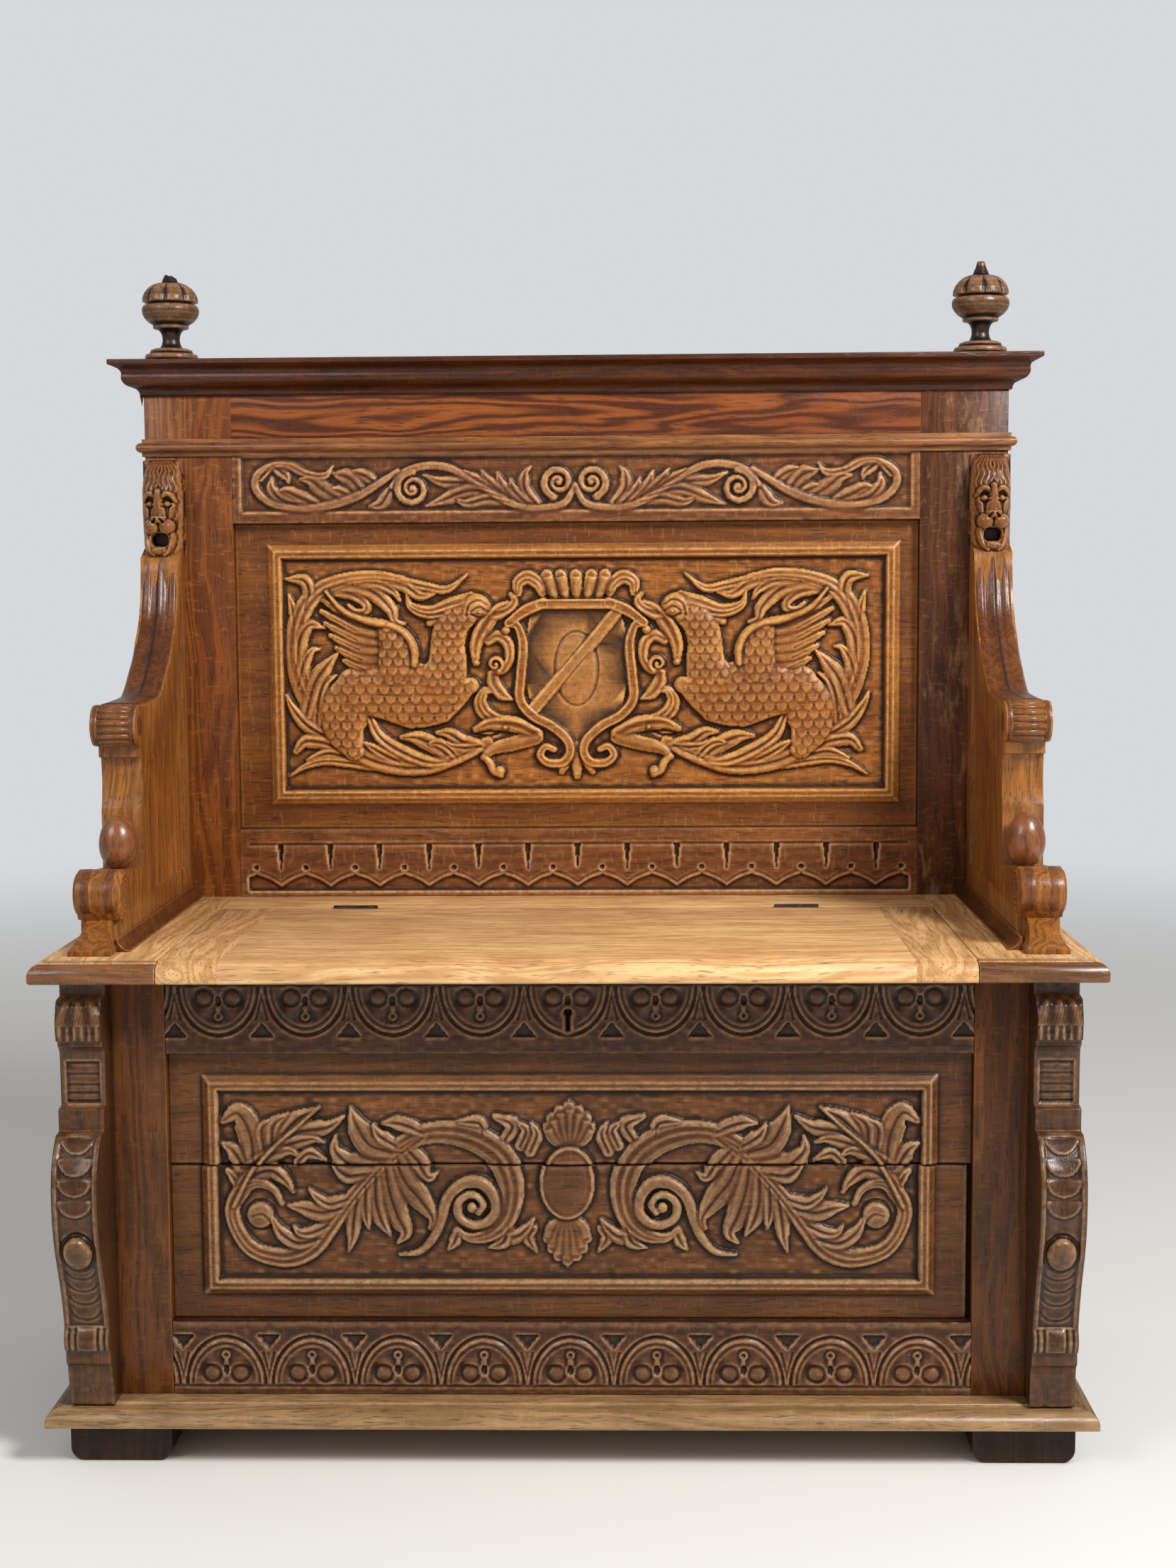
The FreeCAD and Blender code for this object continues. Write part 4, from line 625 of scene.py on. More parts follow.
# %% Which board has which finish
PLAIN = {
    stile_oak: ("back_stile_left",),
    scuffed_stile_oak: ("back_stile_right",),
    box_stile_oak: ("chest_front_stile_left", "chest_front_stile_right"),
    seat_oak: ("lid_board", "seat_rear_board"),
    cleat_oak: ("lid_cleat_left", "lid_cleat_right", "seat_end_left", "seat_end_right"),
    frieze_oak: ("frieze_rail",),
    moulding_oak: ("cornice_moulding", "cornice_cap"),
    highlit_string_oak: ("string_moulding",),
    plinth_oak: ("plinth_front",),
    foot_oak: ("foot_front_left", "foot_front_right", "foot_rear_left", "foot_rear_right"),
    plain_oak: ("chest_rear_rail_top", "chest_rear_rail_bottom", "chest_rear_panel", "chest_floor",
                "plinth_rear"),
    plain_upright_oak: ("chest_rear_post_left", "chest_rear_post_right"),
    arm_oak: ("arm_cove_left", "arm_cove_right"),
    box_side_oak: tuple("chest_side_" + part + "_" + side for part in ("rail_top", "rail_bottom", "panel")
                        for side in SIDES),
    plinth_side_oak: ("plinth_side_left", "plinth_side_right"),
}
for finish, boards in PLAIN.items():
    for board_name in boards:
        crisp = "moulding" in board_name or "cap" in board_name
        softened(board_name, finish, 0.5 if crisp else 1.1)
# The polished edge of a seat end is its front and its outer side
for side in SIDES:
    mesh = bpy.data.objects["plain_seat_end_" + side].data
    mesh.materials.append(edge_oak)
    for face in mesh.polygons:
        if face.normal.y < -0.3 or abs(face.normal.x) > 0.5:
            face.material_index = 1
for node_object in nodes.values():
    if any(slot.material and slot.material.name.startswith("iron") for slot in node_object.material_slots):
        for slot in node_object.material_slots:
            slot.material = iron
print("plain boards:", sum(len(boards) for boards in PLAIN.values()))


# %% [markdown]
# ## Where the carved boards lie
#
# Depths of the faces and backs, half widths, and levels from the floor up.

# %% Places of the carved boards
BOX_HALF, BACK_HALF = 409.0, 398.0
PLINTH_TOP, BOX_BOARD_LOW, CRACK, BOX_BOARD_HIGH, BOX_TOP = 64.5, 142.0, 303.0, 420.0, 504.0
SEAT_TOP, PANEL_LOW, PANEL_HIGH, BACK_RAIL_HIGH = 526.0, 606.0, 963.0, 1061.0
BOX_RAIL_FACE, BOX_RAIL_SPLIT, BOX_RAIL_BACK = 66.0, 80.0, 96.0
BOX_BOARD_FACE, BOX_BOARD_BACK = 78.0, 94.0
BACK_RAIL_FACE, BACK_RAIL_BACK = 440.0, 466.0
PANEL_FACE, PANEL_BACK = 452.0, 464.0


# %% [markdown]
# ## The border of a carved board
#
# Each carved board sits sunk in its frame. A raised border runs round it with a bevelled
# outside, a narrow flat rim and a short slope down to the ground, which the carver cut a little
# below the board's own face. All of that is a function of the distance to the border's edge.

# %% Borders and worn ground
def bordered_ground(board, x_low, x_high, z_low, z_high, bevel=8.0, rim=7.0, slope=4.0, rise=6.5, sink=2.0):
    """Sets a board's ground and border, marks what lies inside it and darkens the margin."""
    X, Z = board["X"], board["Z"]
    inward = np.minimum(np.minimum(X - x_low, x_high - X), np.minimum(Z - z_low, z_high - Z))
    places = [-0.1, 0.0, bevel * 0.9, bevel, bevel + rim * 0.5, bevel + rim, bevel + rim + slope]
    board["H"] = np.interp(inward, places, [0.0, 0.9, rise - 0.8, rise, rise - 0.5, rise, -sink])
    board["inner"] = inward > bevel + rim + slope
    board["tone"] = np.where(inward < 0.0, -0.26, 0.0)


def tooled(board, seed, depth=0.35, rows_each=5, columns_each=7):
    """The faint dimples that a flat gouge leaves on the ground, a few rows and columns each."""
    random = np.random.default_rng(seed)
    rows, columns = board["X"].shape
    coarse = random.normal(size=(rows // rows_each + 2, columns // columns_each + 2))
    row_place = np.arange(rows) / rows_each
    column_place = np.arange(columns) / columns_each
    r0, c0 = row_place.astype(int), column_place.astype(int)
    fr, fc = (row_place - r0)[:, None], (column_place - c0)[None, :]
    fr, fc = fr * fr * (3.0 - 2.0 * fr), fc * fc * (3.0 - 2.0 * fc)
    near = coarse[r0][:, c0] * (1 - fr) * (1 - fc) + coarse[r0 + 1][:, c0] * fr * (1 - fc)
    near += coarse[r0][:, c0 + 1] * (1 - fr) * fc + coarse[r0 + 1][:, c0 + 1] * fr * fc
    board["H"] += depth * near * board.get("inner", 1.0)


# %% [markdown]
# ## The back panel: two griffins and a shield
#
# Two griffins with scaled necks and raised wings turn their heads to a shield between them,
# among fronds of acanthus. The left half is drawn stroke by stroke and the right is its mirror
# image, as a carver pricks one drawing through and turns it over.

# %% Back panel, drawing
back_panel = blank(-BACK_HALF, BACK_HALF, PANEL_LOW, PANEL_HIGH)
bordered_ground(back_panel, -360.0, 377.0, 634.0, 939.0)
FROND_LEAVES = [
    ([(-318, 862), (-312, 882), (-318, 897), (-339, 899)], [7, 9, 8, 2], 6),
    ([(-330, 845), (-332, 865), (-336, 880)], [5, 6, 2], 4),
    ([(-328, 795), (-324, 828), (-312, 845), (-295, 842)], [9, 11, 9, 2], 7),
    ([(-326, 775), (-320, 800), (-310, 815), (-302, 817)], [9, 10, 7, 2], 6),
    ([(-318, 740), (-308, 775), (-294, 796), (-280, 812)], [10, 13, 11, 2], 7.5),
    ([(-306, 728), (-303, 758), (-296, 776), (-283, 786)], [8, 10, 8, 2], 6.5),
    ([(-292, 712), (-318, 728), (-334, 748), (-341, 763)], [7, 9, 7, 2], 6),
    ([(-280, 700), (-300, 707), (-320, 708), (-331, 697)], [7, 9, 9, 4], 6.5),
    ([(-272, 690), (-292, 694), (-308, 690), (-318, 686)], [6, 8, 6, 2], 5.5),
    ([(-240, 678), (-290, 685), (-318, 680), (-340, 667)], [5, 6, 5, 1], 5),
    ([(-300, 880), (-268, 892), (-238, 884), (-217, 864), (-212, 850), (-201, 846)],
     [8, 12, 13, 11, 8, 2], 7.5),
    ([(-262, 893), (-232, 894), (-213, 884), (-206, 873)], [8, 10, 8, 2], 7),
    ([(-228, 897), (-202, 892), (-182, 879), (-165, 881)], [8, 10, 8, 2], 7),
    ([(-205, 896), (-175, 889), (-150, 886), (-127, 903)], [6, 6, 5, 1], 6),
    ([(-288, 738), (-284, 716), (-262, 696), (-225, 681), (-180, 677), (-140, 690), (-105, 706)],
     [5, 9, 11, 10, 9, 9, 7], 6.5),
    ([(-243, 736), (-232, 714), (-208, 697), (-176, 684), (-146, 684)], [5, 8, 9, 8, 4], 7.5),
    ([(-146, 686), (-166, 702), (-188, 712), (-206, 713)], [8, 11, 10, 3], 7.5),
    ([(-140, 688), (-152, 700), (-164, 706), (-176, 704)], [7, 8, 7, 2], 8),
    ([(-108, 700), (-132, 706), (-150, 717), (-164, 718)], [8, 10, 9, 3], 7.5),
    ([(-112, 702), (-128, 700), (-146, 702), (-154, 708)], [7, 8, 6, 2], 8),
    ([(-208, 683), (-228, 693), (-246, 704), (-252, 706)], [8, 9, 7, 2], 7),
]
WING_TIPS = [(-296, 874), (-298, 861), (-294, 847), (-288, 833), (-281, 818), (-272, 803), (-262, 792)]


def draw_frond(board):
    """The long curling frond behind a griffin, and the leaves that spring from it."""
    stroke(board, [(-262, 702), (-298, 732), (-321, 775), (-329, 818), (-322, 858), (-300, 885), (-265, 898),
                   (-225, 900), (-190, 893)], [6, 10, 14, 14, 13, 11, 9, 8, 4], 6.0, "leaf", 3)
    for points, widths, rise in FROND_LEAVES:
        stroke(board, points, widths, rise, "leaf", 2)
        stroke(board, points, [0.9, 1.1, 0.6], 1.3, "gouge")
    stroke(board, [(-300, 878), (-280, 884), (-260, 880), (-246, 870), (-246, 861), (-257, 860), (-266, 867)],
           [7, 8, 8, 7, 6, 5, 3], 7.5, "leaf", 2)


def draw_griffins(board):
    """Wing feathers, then tail, body, breast and neck in scales, then the head and beak."""
    for order, (x, z) in enumerate(WING_TIPS):
        root = (-208 - 2.0 * order, 838 - 8.5 * order)
        middle = ((root[0] + x) / 2.0 - 3.0, (root[1] + z) / 2.0 - 7.0)
        stroke(board, [root, middle, (x, z)], [7, 9.5, 3.0], 8.0 - 0.35 * order, "leaf", 1, base=0.6)
        stroke(board, [middle, (x, z)], [1.1, 0.8], 1.4, "gouge")
    stroke(board, [(-292, 884), (-272, 862), (-245, 850), (-215, 843), (-198, 832), (-190, 815), (-190, 798)],
           [2, 4, 5, 6, 6, 6, 5], 11.0, "stem")
    stroke(board, [(-262, 698), (-272, 720), (-272, 748), (-262, 775)],
           [13, 26, 30, 20], 6.0, "scales", size=13.5)
    stroke(board, [(-262, 764), (-225, 766), (-180, 762), (-150, 766), (-124, 773)],
           [24, 32, 40, 34, 10], 7.5, "scales", size=14.5)
    stroke(board, [(-219, 836), (-212, 815), (-210, 786)], [14, 22, 23], 8.0, "scales", size=13.0)
    stroke(board, [(-158, 776), (-151, 800), (-150, 825), (-143, 846), (-124, 860)],
           [32, 23, 20, 21, 15], 8.5, "scales", size=12.0)
    stroke(board, [(-198, 881), (-192, 866), (-172, 859), (-150, 864), (-122, 873)],
           [2, 7, 9, 12, 10], 11.0, "leaf", 3)
    stroke(board, [(-170, 848), (-150, 853), (-134, 861)], [6, 9, 8], 11.0, "leaf", 1)
    button(board, -117, 865, 18, 16, 13.0)
    stroke(board, [(-128, 855), (-124, 868), (-113, 873), (-102, 867)], [1.6, 1.8, 1.4], 2.2, "gouge")
    stroke(board, [(-122, 860), (-112, 865), (-101, 858)], [1.4, 1.6, 1.0], 2.2, "gouge")
    stroke(board, [(-122, 857), (-112, 853), (-101, 857)], [1.4, 1.6, 1.0], 2.0, "gouge")
    button(board, -111.5, 859.2, 4.4, 2.8, 15.0)
    stroke(board, [(-104, 858), (-90, 858), (-77, 864), (-72, 872), (-76, 879)],
           [10, 9, 7, 6, 3], 9.5, "leaf", 2)
    stroke(board, [(-72, 870), (-90, 862), (-106, 845), (-117, 822), (-118, 800)],
           [4, 8, 11, 8, 4], 9.0, "leaf", 2)
    button(board, -117.5, 800, 4.4, 4.4, 7.5)


def draw_shield(board):
    """The leaves and crest round the shield, then its field, band and strap."""
    stroke(board, [(-48, 716), (-72, 727), (-100, 729), (-119, 722)], [9, 10, 9, 4], 8.5, "leaf", 2)
    stroke(board, [(-48, 712), (-74, 705), (-98, 699), (-109, 689)], [9, 9, 8, 5], 7.5, "leaf", 1)
    stroke(board, [(-109, 690), (-102, 682), (-98, 673), (-90, 668)], [4.5, 5, 5, 4], 6.5, "stem")
    button(board, -91, 672.5, 6.5, 6.5, 7.5)
    button(board, -84, 724, 2.6, 2.6, 10.5)
    stroke(board, [(-117, 715), (-104, 714), (-92, 717)], [1.2, 1.6, 0.8], 5.0, "gouge")
    stroke(board, [(-70, 731), (-94, 733), (-108, 742), (-113, 755), (-108, 766), (-97, 768)],
           [5, 7, 9, 9, 7, 3], 7.0, "leaf", 3)
    stroke(board, [(-103, 826), (-91, 831), (-80, 822), (-78, 805), (-86, 791), (-97, 789)],
           [6, 7, 7, 6, 5, 4], 7.0, "leaf", 2)
    volute(board, -95, 798, 9.5, 1.3, 300, 4.0, 7.5)
    stroke(board, [(-98, 786), (-96, 774), (-87, 763), (-75, 757)], [7, 9, 8, 2], 6.5, "leaf", 2)
    stroke(board, [(-68, 881), (-67, 893), (-56, 899), (-44, 892), (-39, 880)],
           [5, 8, 9, 8, 5], 7.5, "leaf", 3)
    for x, lean in ((-29, -5), (-15, -3), (0, 0), (15, 3), (29, 5)):
        stroke(board, [(x - lean, 873), (x, 886), (x + lean, 901)], [5, 7.5, 7.5], 8.0, "leaf", 1, both=False)
    # Its field, an oval boss, a sloping band with two fine lines, and the strap that frames it
    shape = np.interp(board["Z"], (696, 720, 742, 775, 820, 866), (2, 24, 52, 60, 61, 52))
    inside = (np.abs(board["X"]) < shape) & (board["Z"] > 700.0) & (board["Z"] < 868.0)
    board["H"] = np.where(inside, 0.8 + 1.6 * np.clip((shape - np.abs(board["X"])) / 60.0, 0.0, 1.0),
                          board["H"])
    board["tone"] = np.where(inside, 0.3, board["tone"])
    button(board, 0, 793, 24, 40, 4.5, both=False, base=1.2, ring=1.3)
    stroke(board, [(-50, 746), (-25, 775), (0, 803), (25, 832), (50, 862)],
           [8, 8], 2.6, "band", both=False, base=3.2)
    for shift in (-4.6, 4.6):
        stroke(board, [(-46 + shift, 750 - shift), (46 + shift, 858 - shift)],
               [0.9, 0.9], 1.5, "gouge", both=False)
    stroke(board, [(-42, 868), (-20, 868), (20, 868), (42, 868)], [7, 7], 8.5, "band", both=False)
    stroke(board, [(-38, 869), (-60, 860), (-79, 846)], [7.5, 7.5, 6], 8.0, "band")
    stroke(board, [(-76, 845), (-68, 842), (-62, 820), (-65, 785), (-66, 757), (-52, 738), (-30, 726),
                   (-12, 710), (-8, 695), (-16, 683), (-33, 682), (-43, 691), (-37, 701), (-27, 698)],
           [5, 6.5, 6.5, 6.5, 6.5, 6, 5.5, 4], 7.5, "band")
    button(board, -82, 838, 5.5, 5.5, 8.0)
    for x, z, long in ((0, 704, 38), (-9, 700, 28), (9, 700, 28)):
        stroke(board, [(x * 0.5, z), (x * 1.4, z - long * 0.6), (x * 2.0, z - long)],
               [5, 8, 4], 6.5, "leaf", 1, both=False)


tooled(back_panel, 3)
draw_frond(back_panel)
draw_griffins(back_panel)
draw_shield(back_panel)
relief_board("back_panel_carved", back_panel, PANEL_FACE, PANEL_BACK, panel_oak, ("back_board",), keep=0.46)


# %% [markdown]
# ## The two boards of the box front
#
# One drawing runs over two boards: a palmette under an oval in the middle, and on each side a
# spiral stem whose acanthus leaves fill the field. The joint between the boards has opened, and
# the lower board has slipped to the left, so the drawing is made once and then sawn in two.

# %% Box front, drawing
BOX_LEAVES = [
    ([(165, 318), (152, 304), (142, 290), (133, 294)], [9, 11, 8, 2], 5.5),
    ([(176, 310), (166, 286), (150, 266), (138, 248), (141, 236)], [10, 14, 14, 9, 2], 6),
    ([(186, 302), (182, 276), (174, 250), (166, 232), (174, 221)], [10, 14, 14, 10, 2], 6.5),
    ([(196, 293), (196, 266), (191, 246), (182, 229)], [9, 12, 10, 2], 6),
    ([(206, 282), (207, 258), (204, 236)], [9, 10, 2], 5.5),
    ([(215, 270), (219, 246), (221, 226), (225, 211)], [8, 10, 7, 1], 5.5),
    ([(182, 316), (204, 324), (216, 343), (223, 362)], [9, 14, 12, 2], 6.5),
    ([(176, 322), (192, 332), (200, 344)], [7, 9, 2], 6),
    ([(198, 301), (224, 304), (239, 318), (239, 332)], [9, 13, 9, 2], 6.5),
    ([(206, 294), (226, 292), (241, 305)], [8, 9, 2], 5.5),
    ([(224, 267), (243, 262), (255, 268), (264, 277)], [6, 8, 6, 2], 6),
    ([(230, 258), (252, 253), (272, 258), (286, 260)], [7, 11, 9, 2], 6),
    ([(244, 240), (262, 232), (274, 232), (281, 238)], [6, 8, 6, 2], 6),
    ([(252, 226), (276, 221), (293, 231), (304, 249)], [6, 9, 8, 2], 6),
    ([(148, 336), (164, 343), (178, 347), (191, 346)], [7, 9, 8, 2], 6),
    ([(88, 334), (92, 346), (114, 348)], [6, 8, 2], 4.5), ([(66, 328), (58, 344), (76, 353)], [6, 9, 3], 5),
    ([(50, 322), (44, 338), (52, 347)], [6, 7, 2], 4.5), ([(40, 316), (33, 334), (38, 346)], [6, 7, 2], 4.5),
    ([(334, 298), (304, 314), (286, 318), (276, 311)], [9, 10, 8, 2], 6),
    ([(320, 306), (292, 322), (264, 330), (251, 326)], [8, 10, 9, 2], 6),
    ([(302, 324), (276, 337), (248, 342), (230, 353)], [8, 11, 9, 2], 6.5),
    ([(294, 332), (278, 350), (256, 362)], [8, 10, 2], 6.5),
    ([(304, 322), (302, 344), (287, 356)], [8, 10, 2], 6),
    ([(312, 316), (314, 340), (304, 350)], [7, 9, 2], 5.5),
    ([(323, 306), (326, 334), (338, 357), (354, 349)], [10, 14, 13, 4], 6.5),
    ([(333, 300), (344, 318), (354, 325)], [8, 10, 3], 6),
    ([(338, 282), (343, 292), (347, 296)], [5, 6, 4], 5.5),
    ([(340, 266), (326, 288), (304, 297), (288, 286), (281, 274)], [8, 11, 11, 8, 2], 6.5),
    ([(278, 306), (266, 315), (249, 308)], [5, 7, 2], 5.5),
    ([(70, 226), (52, 228), (42, 236), (35, 245)], [7, 9, 7, 2], 5.5),
    ([(34, 236), (40, 226), (32, 212)], [4, 7, 2], 4.5),
    ([(60, 238), (66, 222), (80, 216)], [6, 8, 2], 5), ([(112, 232), (116, 222), (122, 214)], [6, 7, 2], 4.5),
]


def draw_box_front(board):
    """The two main fronds, the leaves, the spiral stem and the palmette."""
    stroke(board, [(178, 320), (150, 334), (120, 336), (92, 328), (70, 312), (59, 290), (57, 268), (63, 246),
                   (78, 231), (98, 226), (112, 233)],
           [9, 11, 12, 14, 15, 15, 14, 12, 10, 7, 3], 5.5, "leaf", 3)
    stroke(board, [(150, 334), (182, 310), (206, 286), (226, 262), (246, 236), (262, 216), (282, 206),
                   (302, 206), (324, 214), (338, 232), (344, 254), (337, 274), (318, 284), (301, 277),
                   (293, 262)], [8, 8, 7, 7, 8, 10, 11, 11, 10, 9, 8, 8, 7, 5, 3], 5.5, "leaf", 3)
    for points, widths, rise in BOX_LEAVES:
        stroke(board, points, widths, rise, "leaf", 2)
        stroke(board, points, [0.9, 1.2, 0.6], 1.2, "gouge")
    stroke(board, [(172, 209), (152, 212), (138, 226), (130, 245), (122, 268), (106, 283), (88, 284),
                   (76, 272), (73, 255), (82, 243), (97, 240), (110, 248), (112, 262), (103, 271), (92, 270),
                   (86, 261), (91, 253)], [2, 4, 5, 6, 6, 7, 7, 7, 6, 6, 5, 5, 5, 4, 4], 6.0, "stem")
    button(board, 97, 258, 6, 6, 5.5)
    stroke(board, [(342, 260), (330, 284), (318, 304), (300, 324), (280, 341), (257, 362)],
           [3, 3, 2.5, 1.5], 7.5, "stem")
    button(board, 315, 250, 14, 14, 6.0, ring=1.6)
    stroke(board, [(304, 243), (312, 252), (323, 250)], [1.2, 1.6, 0.8], 1.6, "gouge")
    # The palmette: a fan over the oval, the oval with its rim, and a pendant fan below
    for lean in (-62, -40, -19, 0, 19, 40, 62):
        turn = math.radians(lean)
        long = 43.0 - 0.16 * abs(lean)
        points = [(9 * math.sin(turn), 324),
                  (long * 0.52 * math.sin(turn), 322 + long * 0.50 * math.cos(turn)),
                  (long * 0.72 * math.sin(turn), 320 + long * 0.98 * math.cos(turn * 0.8))]
        stroke(board, points, [5, 7, 6.5], 5.0, "leaf", 1, both=False)
        points = [(9 * math.sin(turn), 244),
                  (long * 0.50 * math.sin(turn), 246 - long * 0.50 * math.cos(turn)),
                  (long * 0.66 * math.sin(turn), 246 - long * 1.02 * math.cos(turn * 0.85))]
        stroke(board, points, [5, 7, 6], 4.6, "leaf", 1, both=False)
    button(board, 0, 284, 25, 35, 4.0, both=False, base=3.2, ring=1.0)
    ring = [(26 * math.cos(a), 284 + 36 * math.sin(a)) for a in np.linspace(-1.5, 4.95, 19)]
    stroke(board, ring, [2.6, 2.6], 4.0, "stem", both=False, base=1.6)


CRACK_HALF = 0.8
SLIP = 2.5
box_front = blank(-BOX_HALF, BOX_HALF, BOX_BOARD_LOW, BOX_BOARD_HIGH)
bordered_ground(box_front, -375.0, 375.0, 166.5, 397.0)
tooled(box_front, 5)
draw_box_front(box_front)


def sawn(board, low, high, slip=0.0):
    """The rows between two levels, moved sideways by as many columns as the slip comes to."""
    keep = (board["Z"][:, 0] > low) & (board["Z"][:, 0] < high)
    part = {key: board[key][keep].copy() for key in ("X", "Z", "H", "tone")}
    shift = int(round(slip / board["step"]))
    part["H"] = np.roll(part["H"], -shift, axis=1)
    if shift:
        part["H"][:, -2 * shift:] = -4.0
    return part


upper = sawn(box_front, CRACK + CRACK_HALF, BOX_TOP)
lower = sawn(box_front, 0.0, CRACK - CRACK_HALF, SLIP)
upper["Z"][0], lower["Z"][-1] = CRACK + CRACK_HALF, CRACK - CRACK_HALF
for name, board, keep in (("upper", upper, 0.9), ("lower", lower, 0.85)):
    relief_board("box_front_" + name + "_carved", board, BOX_BOARD_FACE, BOX_BOARD_BACK, dusty_oak,
                 ("chest_front_board_" + name,), keep)


# %% [markdown]
# ## Lunettes on the rails of the box
#
# Nine half circles stand side by side on the lower rail and hang from the upper one. Each was
# struck with a compass, cut with a V tool and filled with gouged petals round a small ring.
# The whole row comes from one lunette, whose height at a place depends only on the distance to
# its own centre.

# %% Lunettes
LUNETTE_PITCH = 88.6
ARCH, INNER_ARCH = 40.5, 34.5
PETAL_PLACE, PETAL_LONG, PETAL_DEEP = 22.0, 10.5, 3.4
LOBE_ASIDE, LOBE_UP, LOBE = 14.0, 10.5, 9.0


def lunettes(board, spring, up, cut=4.0):
    """A row of lunettes. "up" is 1 where the arches stand up from the spring line, else -1."""
    X, Z = board["X"], board["Z"]
    x = X - LUNETTE_PITCH * np.round(X / LUNETTE_PITCH)
    z = (Z - spring) * up
    r = np.hypot(x, z * 0.82)
    inside = (z > 0.0) & (r < ARCH + 2.0)
    H = -cut * v_cut(r - ARCH, 1.3) * (z > -1.0)
    H -= 1.6 * v_cut(r - INNER_ARCH) * (z > 0.0)
    # Three gouged petals and, between them, a stem that carries the ring
    turn = np.arctan2(x, np.maximum(z, 0.01))
    petal = np.cos(turn * 3.0) ** 2
    scoop = np.clip(1.0 - ((r - PETAL_PLACE) / PETAL_LONG) ** 2, 0.0, 1.0) * petal
    H -= PETAL_DEEP * scoop * inside
    ring = np.hypot(x, z - 30.0)
    ring_top = 3.0 * np.clip(1.4 - np.abs(ring - 3.4) / 1.6, 0.0, 1.0)
    H = np.where(ring < 6.5, ring_top - PETAL_DEEP, H)
    H = np.where((np.abs(x) < 2.6) & (z > 17.0) & (z < 25.0), 0.0, H)
    H = np.where(np.hypot(x / 3.0, (z - 14.5) / 5.0) < 1.0, -3.8, H)
    for hand in (-1.0, 1.0):
        lobe = np.hypot(x - LOBE_ASIDE * hand, z - LOBE_UP)
        H = np.where(lobe < LOBE, np.maximum(-2.5, 0.5 - 3.0 * (lobe / LOBE) ** 2), H)
        H -= 1.2 * v_cut(lobe - LOBE - 0.6, 0.9) * (z > 0.0)
    # Between two lunettes: a sunk triangle over a small V
    gap = np.abs(np.abs(x) - LUNETTE_PITCH / 2.0)
    triangle = (z > 37.0 + gap * 1.25) & (z < 52.0)
    H = np.where(triangle & (r > 44.0), np.minimum(H, -3.6), H)
    H -= 2.4 * v_cut(gap - (z - 8.0) * 0.23) * (z > 2.0) * (z < 34.0) * (r > 42.0)
    H -= 1.8 * v_cut(z + 2.0)
    board["H"] += H


bottom_rail = blank(-BOX_HALF, BOX_HALF, PLINTH_TOP, BOX_BOARD_LOW)
lunettes(bottom_rail, 75.5, 1.0)
bottom_rail["H"] -= 2.2 * np.clip((bottom_rail["Z"] - 136.0) / 6.0, 0.0, 1.0) ** 2
tooled(bottom_rail, 7, 0.2)
relief_board("box_bottom_rail_carved", bottom_rail, BOX_RAIL_FACE, BOX_RAIL_BACK, box_oak,
             ("chest_front_rail_bottom",))

# The upper rail has a keyhole, with plain wood round it, and is painted darker towards the seat as the seat's
# shadow
KEYHOLE_LEVEL, KEYHOLE_DEEP = 454.5, 12.5
top_rail = blank(-BOX_HALF, BOX_HALF, BOX_BOARD_HIGH, BOX_TOP)
lunettes(top_rail, 489.0, -1.0)
key_x = np.abs(top_rail["X"])
key_z = top_rail["Z"] - KEYHOLE_LEVEL
slot_hole = (np.hypot(key_x, key_z - 7.5) < 3.6) | ((key_x < 2.2) & (np.abs(key_z) < 11.0))
tooled(top_rail, 8, 0.2)
around = np.clip(1.0 - np.maximum(np.hypot(key_x, key_z * 0.7) - 9.0, 0.0) / 4.0, 0.0, 1.0)
top_rail["H"] = top_rail["H"] * (1.0 - around)
top_rail["H"] = np.where(slot_hole, -KEYHOLE_DEEP, top_rail["H"])
# Painted shadow of the seat: the rail grows darker towards its top edge
top_rail["tone"] = -0.2 - 0.25 * np.clip((top_rail["Z"] - 440.0) / 64.0, 0.0, 1.0)
relief_board("box_top_rail_carved", top_rail, BOX_RAIL_FACE, BOX_RAIL_SPLIT, box_oak,
             ("chest_front_rail_top",))
# Behind the carving the rail keeps its pocket for the lock, so its back half is the frame's own
rail_back = softened("chest_front_rail_top", box_oak)
push_back(rail_back, BOX_RAIL_SPLIT - 3.0, BOX_RAIL_SPLIT - 0.4)


# %% [markdown]
# ## The rails of the back
#
# The upper rail has scrolls that run out from a volute in the middle. The lower rail has a row
# of notches over a scalloped edge, each scallop struck from a small drilled hole.

